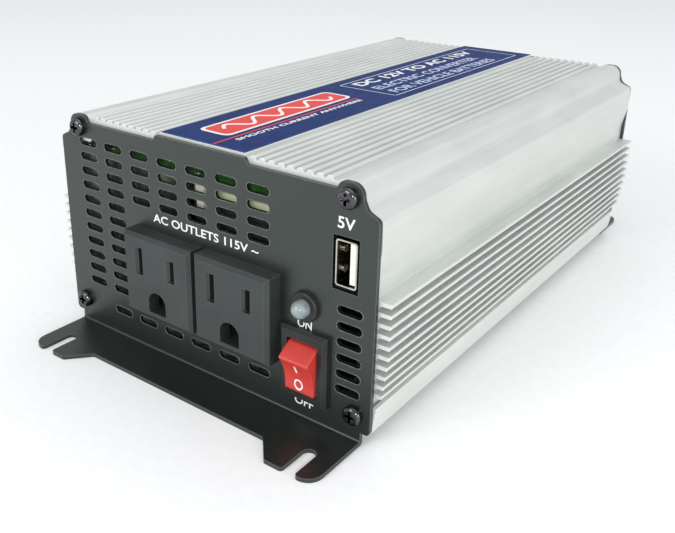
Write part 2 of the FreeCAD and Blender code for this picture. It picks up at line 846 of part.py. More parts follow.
# ---------------------------------------------------------------- switch


def make_switch_housing():
    """The black bezel and well that the rocker tilts in."""
    body = new_body("switch_housing_body")
    across, up = size.switch_across, size.switch_height
    bezel = new_sketch(body, "bezel_outline", "XZ_Plane", -front_face)
    rectangle(bezel, across, up, size.bezel_width, size.bezel_height)
    bezel_pad = pad(body, "bezel", bezel, size.bezel_thickness)
    front = (front_face - size.bezel_thickness).value

    def at_front(edge, middle):
        return abs(middle.y - front) < 0.01

    dress(body, "Chamfer", "bezel_bevel", bezel_pad, at_front, 0.9)
    well = new_sketch(body, "well_outline", "XZ_Plane", -front_face)
    rectangle(well, across, up, 13.0, 19.0, 0.5)
    pad(body, "well", well, 13.5, backwards=True)
    document.recompute()
    opening = new_sketch(body, "well_opening", "XZ_Plane", -(front_face - 8.0))
    rectangle(opening, across, up, size.rocker_opening_width, size.rocker_opening_height, 0.3)
    pocket(body, "well_cut", opening, 22.0, backwards=True)
    bores = new_sketch(body, "trunnion_bores", "YZ_Plane")
    ring(bores, front_face + size.rocker_pivot_depth, up,
         size.trunnion_radius + size.trunnion_clearance)
    made = body.newObject("PartDesign::Pocket", "trunnion_bore_cut")
    made.Profile = bores
    made.Type = "ThroughAll"
    made.Midplane = True
    document.recompute()
    return named(body, "switch_housing")


def make_rocker():
    """The red rocker: a shallow V seen from the side, on two trunnions, at rest tilted to off."""
    body = new_body("rocker_body")
    profile = new_sketch(body, "rocker_profile", "YZ_Plane")
    right_half = [
        (-2.2, 3.2, 0.8),
        (-0.6, 7.1, 0.8),
        (1.6, 7.3, 0.6),
        (7.0, 5.6, 0.7),
    ]
    outward = [(-depth_out, rise, bend) for depth_out, rise, bend in right_half]
    lower = [(-depth_out, -rise, bend) for depth_out, rise, bend in reversed(right_half)]
    outline(profile, outward + [(-5.39, 0.0, 14.0)] + lower)
    blade = pad(body, "rocker_blade", profile, size.rocker_width, both_ways=True)
    half_width = size.rocker_width.value / 2

    def at_sides(edge, middle):
        return abs(abs(middle.x) - half_width) < 0.01

    dress(body, "Fillet", "rocker_soft_edges", blade, at_sides, 0.35)
    pins = new_sketch(body, "trunnion_outline", "YZ_Plane")
    ring(pins, 0, 0, size.trunnion_radius)
    pad(body, "trunnions", pins, size.rocker_width + 3.0, both_ways=True)
    document.recompute()
    plunger = new_sketch(body, "plunger_outline", "XZ_Plane", 1.0)
    ring(plunger, 0, 0, 1.5)
    pad(body, "plunger", plunger, 6.5, backwards=True)
    body.Placement = Placement(
        Vector(size.switch_across.value, (front_face + size.rocker_pivot_depth).value,
               size.switch_height.value),
        Rotation(Vector(1, 0, 0), ROCKER_TILT),
    )
    bind(body, "Placement.Base.x", size.switch_across)
    bind(body, "Placement.Base.y", front_face + size.rocker_pivot_depth)
    bind(body, "Placement.Base.z", size.switch_height)
    return named(body, "rocker")


def make_switch_contacts():
    """The see-saw contact arm that the rocker's plunger tips, and the two fixed terminals."""
    across, up = size.switch_across, size.switch_height
    floor = front_face + 13.5
    arm_pivot = front_face + 10.6
    arm = block("contact_arm_strip", (-1.6, -1.0, -5.6), (1.6, -0.5, 5.6))
    knuckle = rod("contact_arm_knuckle", "x", (-1.6, 0, 0), 0.8, 3.2)
    tips = [rod(f"contact_tip_{side}", "y", (0, -0.5, side * 4.8), 0.9, 0.5) for side in (-1, 1)]
    tilted = fuse("contact_arm_solid", [arm, knuckle, *tips])
    tilted.Placement = Placement(Vector(), Rotation(Vector(1, 0, 0), -ROCKER_TILT * 0.5))
    bind(tilted, "Placement.Base.x", across)
    bind(tilted, "Placement.Base.y", arm_pivot)
    bind(tilted, "Placement.Base.z", up)
    named(tilted, "contact_arm")

    post = block("fulcrum_post", (across - 1.5, arm_pivot + 1.2, up - 1.2),
                 (across + 1.5, floor + 8.0, up + 1.2))
    live = block("live_terminal", (across - 1.5, arm_pivot + 1.6, up - 6.4),
                 (across + 1.5, floor + 8.0, up - 4.0))
    named(group("switch_terminal_set", [post, live]), "switch_terminals")
    floor_plate = block("well_floor_plate", (across - 6.0, floor, up - 9.0),
                        (across + 6.0, floor + 1.6, up + 9.0))
    slot_tools = []
    for number, rise in enumerate((0.0, -5.2)):
        slot_tools.append(block(f"well_floor_slot_{number}", (across - 1.6, floor - 1.0, up + rise - 1.3),
                                (across + 1.6, floor + 3.0, up + rise + 1.3)))
    named(cut("well_floor_cut", floor_plate, slot_tools), "switch_back")


# ---------------------------------------------------------------- lamp and charging socket


def make_lamp():
    """The on lamp: a frosted five millimetre dome in a black holder."""
    across, up = size.lamp_across, size.lamp_height
    collar = rod("lamp_collar", "y", (across, front_face - 1.4, up), 4.25, 1.4)
    front = (front_face - 1.4).value

    def at_rim(edge, middle):
        return abs(middle.y - front) < 0.01 and edge.isClosed()

    soft = round_edges("lamp_collar_soft", collar, 0.5, at_rim)
    barrel = rod("lamp_barrel", "y", (across, front_face, up), 3.4, 6.0)
    bore = rod("lamp_bore", "y", (across, front_face - 3.0, up), size.lamp_radius + 0.05, 11.0)
    named(cut("lamp_holder_cut", fuse("lamp_holder_blank", [soft, barrel]), [bore]), "lamp_holder")
    body = new_body("lamp_body")
    half = new_sketch(body, "lamp_half_section", "YZ_Plane")
    tip = 4.9
    outline(half, [(0, 0), (-tip, 0), (-tip, size.lamp_radius, size.lamp_radius - 0.01),
                   (6.5, size.lamp_radius), (6.5, 0)])
    dome = body.newObject("PartDesign::Revolution", "lamp_dome")
    dome.Profile = half
    dome.ReferenceAxis = (half, ["H_Axis"])
    dome.Angle = 360
    body.Placement = Placement(Vector(across.value, front_face.value, up.value), Rotation())
    bind(body, "Placement.Base.x", across)
    bind(body, "Placement.Base.y", front_face)
    bind(body, "Placement.Base.z", up)
    named(body, "lamp")


def make_charging_socket():
    """The charging socket: a folded steel shell, its tongue with four contacts, and its board."""
    across, up = size.socket_across, size.socket_height
    width, height = size.socket_shell_width, size.socket_shell_height
    body = new_body("socket_shell_body")
    outer = new_sketch(body, "socket_shell_outline", "XZ_Plane", -(front_face + 0.2))
    rectangle(outer, across, up, width, height, 0.8)
    pad(body, "socket_shell_block", outer, 14.0, backwards=True)
    document.recompute()
    inner = new_sketch(body, "socket_shell_inside", "XZ_Plane", -(front_face - 3.0))
    rectangle(inner, across, up, width - 0.8, height - 0.8, 0.5)
    pocket(body, "socket_shell_cavity", inner, 16.6, backwards=True)
    named(body, "socket_shell")

    springs = []
    for number, rise in enumerate((-2.6, 2.8)):
        springs.append(rod(f"socket_spring_{number}", "x",
                           (across - width * 0.5 + 0.4, front_face + 3.2, up + rise), 1.0, 0.7))
    named(group("socket_spring_set", springs), "socket_springs")

    right = across + width * 0.5 - 0.6
    tongue = block("socket_tongue_blade", (right - 1.9, front_face + 1.0, up - 5.4),
                   (right, front_face + 13.5, up + 5.4))
    named(tongue, "socket_tongue")
    contacts = []
    for number, rise in enumerate((-3.5, -1.0, 1.0, 3.5)):
        contacts.append(block(f"socket_contact_{number}",
                              (right - 2.15, front_face + 2.0, up + rise - 0.45),
                              (right - 1.9, front_face + 12.5, up + rise + 0.45)))
    named(group("socket_contact_set", contacts), "socket_contacts")
    card = block("socket_card", (across + width * 0.5 + 0.1, front_face + 2.4, up - 8.0),
                 (across + width * 0.5 + 1.3, front_face + 30.0, up + 6.2))
    named(card, "socket_board")


# ---------------------------------------------------------------- fan


def make_fan():
    """The cooling fan: frame with bearing tube, winding, blades on their hub, shaft and guard."""
    across, up = size.fan_across, size.fan_height
    outside = panel_inside_rear
    inside = outside - size.fan_depth
    half = size.fan_size * 0.5
    body = new_body("fan_frame_body")
    square = new_sketch(body, "fan_frame_outline", "XZ_Plane", -inside)
    rectangle(square, across, up, size.fan_size, size.fan_size, 3.0)
    pad(body, "fan_frame_block", square, size.fan_depth, backwards=True)
    document.recompute()
    duct = new_sketch(body, "fan_duct", "XZ_Plane", -inside)
    ring(duct, across, up, size.fan_bore_radius)
    pocket(body, "fan_duct_cut", duct)
    spokes = new_sketch(body, "fan_spokes", "XZ_Plane", -inside)
    ring(spokes, across, up, size.fan_hub_radius - 0.5)
    pad(body, "fan_hub_plate", spokes, 1.2, backwards=True)
    document.recompute()
    for number, (width, height) in enumerate(((2.4, size.fan_size - 1.0), (size.fan_size - 1.0, 2.4))):
        bar = new_sketch(body, f"fan_bar_{number}_outline", "XZ_Plane", -inside)
        rectangle(bar, across, up, width, height)
        pad(body, f"fan_bar_{number}", bar, 1.2, backwards=True)
        document.recompute()
    bearing_radius = 2.9
    tower = new_sketch(body, "bearing_tube_outline", "XZ_Plane", -inside)
    ring(tower, across, up, bearing_radius + 1.1)
    pad(body, "bearing_tube", tower, 10.0, backwards=True)
    document.recompute()
    holes = new_sketch(body, "fan_frame_holes", "XZ_Plane", -inside)
    ring(holes, across, up, bearing_radius)
    for side in (-0.5, 0.5):
        for rise in (-0.5, 0.5):
            ring(holes, across + side * size.fan_screw_spacing,
                 up + rise * size.fan_screw_spacing, size.screw_port_radius)
    pocket(body, "fan_frame_hole_cut", holes)
    named(body, "fan_frame")

    shaft_start = inside + 1.0
    sleeve = tube("fan_bearing_sleeve", "y", (across, inside + 0.2, up), bearing_radius,
                  size.fan_shaft_radius + size.fan_running_clearance, 9.6)
    named(sleeve, "fan_bearing")
    named(rod("fan_spindle", "y", (across, shaft_start, up), size.fan_shaft_radius, 12.6), "fan_shaft")
    coil = tube("fan_coil", "y", (across, inside + 1.8, up), 9.6, bearing_radius + 1.15, 7.4)
    named(coil, "fan_winding")

    body = new_body("fan_rotor_body")
    cup = new_sketch(body, "rotor_cup_outline", "XZ_Plane", -2.0)
    ring(cup, 0, 0, size.fan_hub_radius)
    cup_pad = pad(body, "rotor_cup", cup, 12.0, backwards=True)

    def at_cap(edge, middle):
        return abs(middle.y - 14.0) < 0.01

    dress(body, "Fillet", "rotor_cap_round", cup_pad, at_cap, 1.0)
    roots = new_sketch(body, "blade_root", "YZ_Plane", 11.4)
    outline(roots, [(2.6, -4.6), (3.8, -4.6), (13.2, 3.8), (12.0, 3.8)])
    ends = new_sketch(body, "blade_end", "YZ_Plane", size.fan_blade_reach)
    outline(ends, [(3.4, -7.6), (4.4, -7.6), (12.4, 6.4), (11.4, 6.4)])
    blade = body.newObject("PartDesign::AdditiveLoft", "blade")
    blade.Profile = roots
    blade.Sections = [ends]
    document.recompute()
    polar(body, "blades", blade, cup, 7)
    document.recompute()
    hollow = new_sketch(body, "rotor_hollow", "XZ_Plane", -1.0)
    ring(hollow, 0, 0, size.fan_hub_radius - 1.3)
    pocket(body, "rotor_hollow_cut", hollow, 10.6, backwards=True)
    seat = new_sketch(body, "shaft_seat", "XZ_Plane", -8.0)
    ring(seat, 0, 0, size.fan_shaft_radius)
    pocket(body, "shaft_seat_cut", seat, 5.6, backwards=True)
    body.Placement = Placement(Vector(across.value, inside.value, up.value), Rotation())
    bind(body, "Placement.Base.x", across)
    bind(body, "Placement.Base.y", inside)
    bind(body, "Placement.Base.z", up)
    named(body, "fan_rotor")

    wire = 0.8
    rings_at = rear_face + 2.0
    rings = [torus(f"guard_ring_{number}", (across, rings_at, up), reach, wire)
             for number, reach in enumerate((6.5, 12.4, 18.3, 24.2))]
    arms = []
    eyes = []
    corner = size.fan_screw_spacing * 0.5
    for number, (side, rise) in enumerate(((-1, -1), (1, -1), (1, 1), (-1, 1))):
        arm = document.addObject("Part::Cylinder", f"guard_arm_{number}")
        turn = Rotation(Vector(0, 0, 1), Vector(side, 0, rise))
        arm.Radius = wire
        arm.Height = 18.9
        start = Vector(across.value + side * 4.6, (rear_face + 0.9).value, up.value + rise * 4.6)
        arm.Placement = Placement(start, turn)
        bind(arm, "Placement.Base.x", across + side * 4.6)
        bind(arm, "Placement.Base.y", rear_face + 0.9)
        bind(arm, "Placement.Base.z", up + rise * 4.6)
        arms.append(arm)
        eyes.append(tube(f"guard_eye_{number}", "y", (across + side * corner, rear_face, up + rise * corner),
                         3.3, 1.7, 1.2))
    named(fuse("guard_wires", [*rings, *arms, *eyes]), "fan_guard")
    screws = []
    for number, (side, rise) in enumerate(((-1, -1), (1, -1), (1, 1), (-1, 1))):
        screws.append(pan_screw(f"fan_screw_{number}", across + side * corner, up + rise * corner,
                                rear_face + 1.2, 1, 12.0))
    named(group("fan_screw_set", screws), "fan_screws")


# ---------------------------------------------------------------- battery terminals


def make_terminal(colour, across):
    """A battery terminal: brass stud, insulating base, captive washer and unscrewing knob."""
    up = size.post_height
    base_length = 3.0
    collar = rod(f"{colour}_base_collar", "y", (across, rear_face, up), 9.5, base_length)
    rim = (rear_face + base_length).value

    def at_rim(edge, middle):
        return abs(middle.y - rim) < 0.01 and edge.isClosed()

    soft = round_edges(f"{colour}_base_soft", collar, 0.8, at_rim)
    neck = rod(f"{colour}_base_neck", "y", (across, rear_face - 4.0, up), 5.0, 4.0)
    bore = rod(f"{colour}_base_bore", "y", (across, rear_face - 6.0, up), size.stud_radius, 12.0)
    base = fuse(f"{colour}_base_blank", [soft, neck])
    named(cut(f"{colour}_base_cut", base, [bore]), f"{colour}_terminal_base")

    stud = rod(f"{colour}_stud_rod", "y", (across, rear_face - 12.0, up), size.stud_radius, 26.5)
    shoulder = rod(f"{colour}_stud_shoulder", "y", (across, rear_face - 7.0, up), 4.6, 3.0)
    eyelet = rod(f"{colour}_stud_eyelet", "y", (across, rear_face - 9.2, up), 5.4, 2.2)
    named(fuse(f"{colour}_stud_solid", [stud, shoulder, eyelet]), f"{colour}_stud")

    seat = rear_face + base_length + 0.3
    named(tube(f"{colour}_washer_ring", "y", (across, seat, up), 7.4, size.stud_radius + 0.08, 1.0),
          f"{colour}_washer")

    body = new_body(f"{colour}_knob_body")
    round_end = new_sketch(body, f"{colour}_knob_outline", "XZ_Plane")
    ring(round_end, 0, 0, size.knob_radius)
    grip = pad(body, f"{colour}_knob_grip", round_end, size.knob_length, backwards=True)
    end = size.knob_length.value

    def at_end(edge, middle):
        return abs(middle.y - end) < 0.01

    dress(body, "Chamfer", f"{colour}_knob_bevel", grip, at_end, 1.2)
    flute = new_sketch(body, f"{colour}_flute", "XZ_Plane", -2.4)
    ring(flute, 0, size.knob_radius + 0.7, 1.5)
    groove = pocket(body, f"{colour}_flute_cut", flute, 14.0, backwards=True)
    polar(body, f"{colour}_flutes", groove, round_end, 14)
    document.recompute()
    blind = new_sketch(body, f"{colour}_knob_bore_outline", "XZ_Plane", 1.0)
    ring(blind, 0, 0, size.stud_radius + 0.06)
    pocket(body, f"{colour}_knob_bore", blind, 13.0, backwards=True)
    knob_start = seat + 1.3
    body.Placement = Placement(Vector(across.value, knob_start.value, up.value), Rotation())
    bind(body, "Placement.Base.x", across)
    bind(body, "Placement.Base.y", knob_start)
    bind(body, "Placement.Base.z", up)
    named(body, f"{colour}_knob")


def make_ground_screw():
    """The chassis ground screw with its toothed washer."""
    screw = pan_screw("ground_screw_solid", as_size(-30.0), as_size(50.0), rear_face + 0.8, 1, 7.0)
    washer = tube("ground_washer_ring", "y", (-30.0, rear_face, 50.0), 4.2, 1.6, 0.8)
    named(group("ground_screw_set", [screw, washer]), "ground_screw")


# ---------------------------------------------------------------- electronics


def make_electronics():
    """The board hangs from its grooves near the roof with its components underneath."""
    low = size.board_bottom
    start = panel_inside_front + 1.5
    stop = panel_inside_rear - size.fan_depth - 3.0
    edge = size.wall_inside - 0.3
    named(block("board_sheet", (-edge, start, low), (edge, stop, low + size.board_thickness)), "main_board")

    front = start + 1.5
    deep = front + 8.0
    base = low - 16.5
    core = block("core_block", (-15.0, deep + 1.0, base), (15.0, deep + 35.0, low - 7.6))
    window = block("core_window", (-16.0, deep + 6.0, base + 3.0), (16.0, deep + 30.0, low))
    named(cut("core_frame", core, [window]), "transformer_core")
    coil = block("winding_coil", (-12.5, deep + 6.3, base + 3.2), (12.5, deep + 29.7, low - 7.5))
    crown = block("winding_crown", (-13.6, deep, low - 7.5), (14.4, deep + 36.0, low))
    named(fuse("winding_solid", [coil, crown]), "transformer_winding")
    named(block("output_plug", (-10.4, deep - 2.6, low - 12.0), (-7.6, deep - 0.2, low)),
          "output_connector")

    def can(name, across, along, radius, length):
        made = rod(name, "z", (across, along, low - length), radius, length)
        bottom = (low - length).value

        def at_bottom(edge, middle):
            return abs(middle.z - bottom) < 0.01 and edge.isClosed()

        return round_edges(f"{name}_soft", made, 0.8, at_bottom)

    named(can("bus_can", -36.5, front + 10.5, 10.0, 38.0), "bus_capacitor")
    cans = [can(f"input_can_{number}", -34.0 + 17.0 * number, stop - 14.0, 7.5, 28.0)
            for number in range(3)]
    named(group("input_can_set", cans), "input_capacitors")
    named(block("heatsink_sheet", (-21.4, front, low - 16.0), (-19.6, front + 24.0, low)),
          "regulator_heatsink")

    ring_core = tube("choke_ring", "x", (37.0, front + 52.0, low - 17.0), 12.0, 6.0, 9.0)
    named(ring_core, "choke_core")
    turns = []
    turn_count = 10
    for number in range(turn_count):
        angle = 360.0 / turn_count * number
        loop = document.addObject("Part::Torus", f"choke_turn_{number}")
        loop.Radius1 = 6.6
        loop.Radius2 = 0.6
        reach = Rotation(Vector(1, 0, 0), angle).multVec(Vector(0, 0, 9.0))
        centre = Vector(41.5, (front + 52.0).value, (low - 17.0).value) + reach
        loop.Placement = Placement(centre, Rotation(Vector(1, 0, 0), angle) * Rotation(Vector(1, 0, 0), 90))
        turns.append(loop)
    named(group("choke_turn_set", turns), "choke_winding")

    def transistors(label, side, places):
        pieces = []
        for number, along in enumerate(places):
            inner = side * (size.wall_inside - 7.4)
            outer = side * (size.wall_inside - 2.9)
            left, right = (inner, outer) if side > 0 else (outer, inner)
            pieces.append(block(f"{label}_case_{number}", (left, along, low - 16.0),
                                (right, along + 10.0, low - 5.0)))
        named(group(f"{label}_set", pieces), label)
        near = side * (size.wall_inside - 10.4)
        far = side * (size.wall_inside - 7.5)
        left, right = (near, far) if side > 0 else (far, near)
        bar = block(f"{label}_bar", (left, places[0] - 3.0, low - 14.0),
                    (right, places[-1] + 13.0, low - 7.0))
        pad_near = side * (size.wall_inside - 2.8)
        pad_far = side * size.wall_inside
        left, right = (pad_near, pad_far) if side > 0 else (pad_far, pad_near)
        sheet_bar = block(f"{label}_spreader", (left, places[0] - 4.0, low - 18.0),
                          (right, places[-1] + 14.0, low - 4.0))
        return bar, sheet_bar

    input_places = [as_size(-10.0 + 14.0 * number) for number in range(5)]
    output_places = [as_size(-60.0 + 14.0 * number) for number in range(4)]
    bars = [transistors("input_transistors", 1, input_places),
            transistors("output_transistors", -1, output_places)]
    named(group("clamp_bar_set", [bar for bar, _ in bars]), "clamp_bars")
    named(group("spreader_set", [spreader for _, spreader in bars]), "heat_spreaders")

    fuses = []
    for number in range(3):
        along = stop - 44.0
        left = -38.0 + 12.0 * number
        case = block(f"fuse_case_{number}", (left, along, low - 12.0), (left + 5.0, along + 19.0, low - 3.0))
        blades = [block(f"fuse_blade_{number}_{end}", (left + 2.1, along + 1.5 + end * 11.0, low - 3.0),
                        (left + 2.9, along + 6.5 + end * 11.0, low)) for end in range(2)]
        fuses.append(fuse(f"fuse_{number}", [case, *blades]))
    named(group("fuse_set", fuses), "fuses")
    card = block("control_card", (-8.0, -30.0, low - 30.0), (-6.4, 20.0, low))
    chips = [block(f"chip_{number}", (-6.4, -24.0 + 18.0 * number, low - 22.0),
                   (-4.6, -12.0 + 18.0 * number, low - 14.0)) for number in range(2)]
    named(fuse("control_card_set", [card, *chips]), "control_board")
    films = [block(f"film_{number}", (6.0, -2.0 + 14.0 * number, low - 13.0),
                   (24.0, 8.0 + 14.0 * number, low)) for number in range(2)]
    named(group("film_set", films), "film_capacitors")


def make_leads():
    """The battery, outlet and switch leads, each held at both ends inside the case."""
    low = size.board_bottom
    stud_end = rear_face - 12.0
    battery = []
    for colour, across in (("red", size.post_inner_across), ("black", size.post_outer_across)):
        route = [(across, stud_end, size.post_height), (across, stud_end - 9.0, size.post_height),
                 (across, stud_end - 9.0, low)]
        battery.append(lead(f"{colour}_lead_run", route, 6.0, 2.2))
    named(group("battery_lead_set", battery), "battery_leads")

    outlets = []
    tab_end = front_face + 26.0
    for side, middle in (("left", size.outlet_left_across), ("right", outlet_right_across)):
        for hand, pole in ((-1, "neutral"), (1, "live")):
            place = middle + hand * 0.5 * size.blade_spacing
            route = [(place, tab_end, size.blade_height), (place, tab_end + 25.0, size.blade_height),
                     (place, tab_end + 25.0, low)]
            outlets.append(lead(f"{side}_{pole}_run", route, 6.0, 1.1))
    named(group("outlet_lead_set", outlets), "outlet_leads")

    terminal_end = front_face + 21.5
    switches = []
    for number, (rise, reach) in enumerate(((0.0, 9.0), (-5.2, 13.0))):
        up = size.switch_height + rise
        route = [(size.switch_across, terminal_end, up), (size.switch_across, terminal_end + reach, up),
                 (size.switch_across, terminal_end + reach, low)]
        switches.append(lead(f"switch_run_{number}", route, 5.0, 0.9))
    named(group("switch_lead_set", switches), "switch_leads")


make_housing()
make_bottom_cover()
make_front_panel()
make_rear_panel()
named(block("label_sheet",
            (-size.band_half_width + 0.2, -size.case_length * 0.5 + 1.6, size.band_top),
            (size.band_half_width - 0.2, size.case_length * 0.5 - 1.6,
             size.band_top + size.label_thickness)), "label")
make_panel_screws("front_screws", front_face, -1)
make_panel_screws("rear_screws", rear_face, 1)
make_outlet("left", size.outlet_left_across)
make_outlet("right", outlet_right_across)
make_switch_housing()
make_rocker()
make_switch_contacts()
make_lamp()
make_charging_socket()
make_fan()
make_terminal("red", size.post_inner_across)
make_terminal("black", size.post_outer_across)
make_ground_screw()
make_electronics()
make_leads()


# ---------------------------------------------------------------- checks and export


document.recompute()
for item in document.Objects:
    if any(word in state for state in item.State for word in ("Invalid", "Error")):
        raise SystemExit(f"{item.Name} failed: {item.State}")

os.makedirs("parts", exist_ok=True)
for target in sub_parts:
    shape = target.Shape
    if shape.isNull() or not shape.isValid() or not shape.Solids:
        raise SystemExit(f"{target.Label} has no valid solid")
    shape.exportStep(f"parts/{target.Label}.step")
    box = shape.BoundBox
    print(f"{target.Label}: {len(shape.Solids)} solids, {shape.Volume:.0f} mm3, "
          f"x {box.XMin:.2f} {box.XMax:.2f}, y {box.YMin:.2f} {box.YMax:.2f}, "
          f"z {box.ZMin:.2f} {box.ZMax:.2f}")
print(f"{len(sub_parts)} sub-parts")
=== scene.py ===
import json
import math

import bmesh
import bpy
from mathutils import Matrix, Vector


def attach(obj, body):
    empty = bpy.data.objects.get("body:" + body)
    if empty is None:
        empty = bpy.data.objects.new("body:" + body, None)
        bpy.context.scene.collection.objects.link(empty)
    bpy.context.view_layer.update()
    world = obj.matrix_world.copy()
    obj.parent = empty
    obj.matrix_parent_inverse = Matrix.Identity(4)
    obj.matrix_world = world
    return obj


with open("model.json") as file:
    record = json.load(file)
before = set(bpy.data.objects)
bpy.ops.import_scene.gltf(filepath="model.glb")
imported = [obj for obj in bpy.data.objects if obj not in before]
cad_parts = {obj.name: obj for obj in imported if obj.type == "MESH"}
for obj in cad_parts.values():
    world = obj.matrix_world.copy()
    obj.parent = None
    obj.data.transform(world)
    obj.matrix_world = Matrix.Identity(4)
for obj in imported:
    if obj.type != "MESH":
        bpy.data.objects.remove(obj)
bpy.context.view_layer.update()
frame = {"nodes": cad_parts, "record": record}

MM = 0.001

# Lengths below are in millimetres unless a name or comment says metres.
# The outer faces of the two panels, along the case, and the top of the label.
FRONT = -92.25
REAR = 92.25
LABEL_TOP = 71.2

# Print directions: words on the label run along the case, and panel legends across it.
RIGHT, LEFT, BACK, UP = (1, 0, 0), (-1, 0, 0), (0, 1, 0), (0, 0, 1)


# ---------------------------------------------------------------- camera and light


def aim(place, azimuth, elevation, roll, lens, shift_across, shift_up):
    """The camera at a place in metres, looking in a direction given in degrees."""
    turn, drop = math.radians(azimuth), math.radians(elevation)
    ahead = Vector((-math.sin(turn) * math.cos(drop), math.cos(turn) * math.cos(drop), -math.sin(drop)))
    data = bpy.data.cameras.new("camera")
    data.lens = lens
    data.sensor_width = 36.0
    data.shift_x = shift_across
    data.shift_y = shift_up
    data.clip_start = 0.01
    data.clip_end = 50.0
    camera = bpy.data.objects.new("camera", data)
    turned = ahead.to_track_quat("-Z", "Y").to_matrix() @ Matrix.Rotation(math.radians(roll), 3, "Z")
    camera.matrix_world = Matrix.Translation(place) @ turned.to_4x4()
    bpy.context.scene.collection.objects.link(camera)
    bpy.context.scene.camera = camera


aim(place=Vector((0.149, -0.2434, 0.1332)), azimuth=37.0, elevation=21.6, roll=0.81,
    lens=44.16, shift_across=0.052, shift_up=-0.070)


def soft_box(name, place, target, across, along, power):
    """A rectangular studio lamp, with its place, target and sides in metres and its power in watts."""
    data = bpy.data.lights.new(name, "AREA")
    data.shape = "RECTANGLE"
    data.size = across
    data.size_y = along
    data.energy = power
    lamp = bpy.data.objects.new(name, data)
    lamp.location = place
    lamp.rotation_euler = (Vector(target) - Vector(place)).to_track_quat("-Z", "Y").to_euler()
    bpy.context.scene.collection.objects.link(lamp)


LAMPS = (
    # name, place, target, side across, side along, power
    ("overhead_box", (0.1, 0.15, 1.5), (0.0, 0.0, 0.0), 1.6, 1.6, 7.0),
    ("right_box", (1.4, -0.3, 0.28), (0.0, 0.0, 0.03), 1.1, 0.5, 6.0),
    ("front_box", (-0.35, -1.15, 0.6), (0.0, -0.1, 0.03), 0.5, 0.5, 5.0),
    ("key_box", (0.90, -1.25, 0.59), (0.0, -0.09, 0.04), 0.16, 0.16, 9.0),
)
for lamp_row in LAMPS:
    soft_box(*lamp_row)

SURROUND_COLOUR = (0.95, 0.97, 1.0, 1.0)
SURROUND_STRENGTH = 0.70

world = bpy.data.worlds.new("studio")
bpy.context.scene.world = world
world.use_nodes = True
surround = world.node_tree.nodes["Background"]
surround.inputs["Color"].default_value = SURROUND_COLOUR
surround.inputs["Strength"].default_value = SURROUND_STRENGTH
bpy.context.scene.view_settings.view_transform = "Standard"


# ---------------------------------------------------------------- finishes


EDGE_SAMPLES = 4


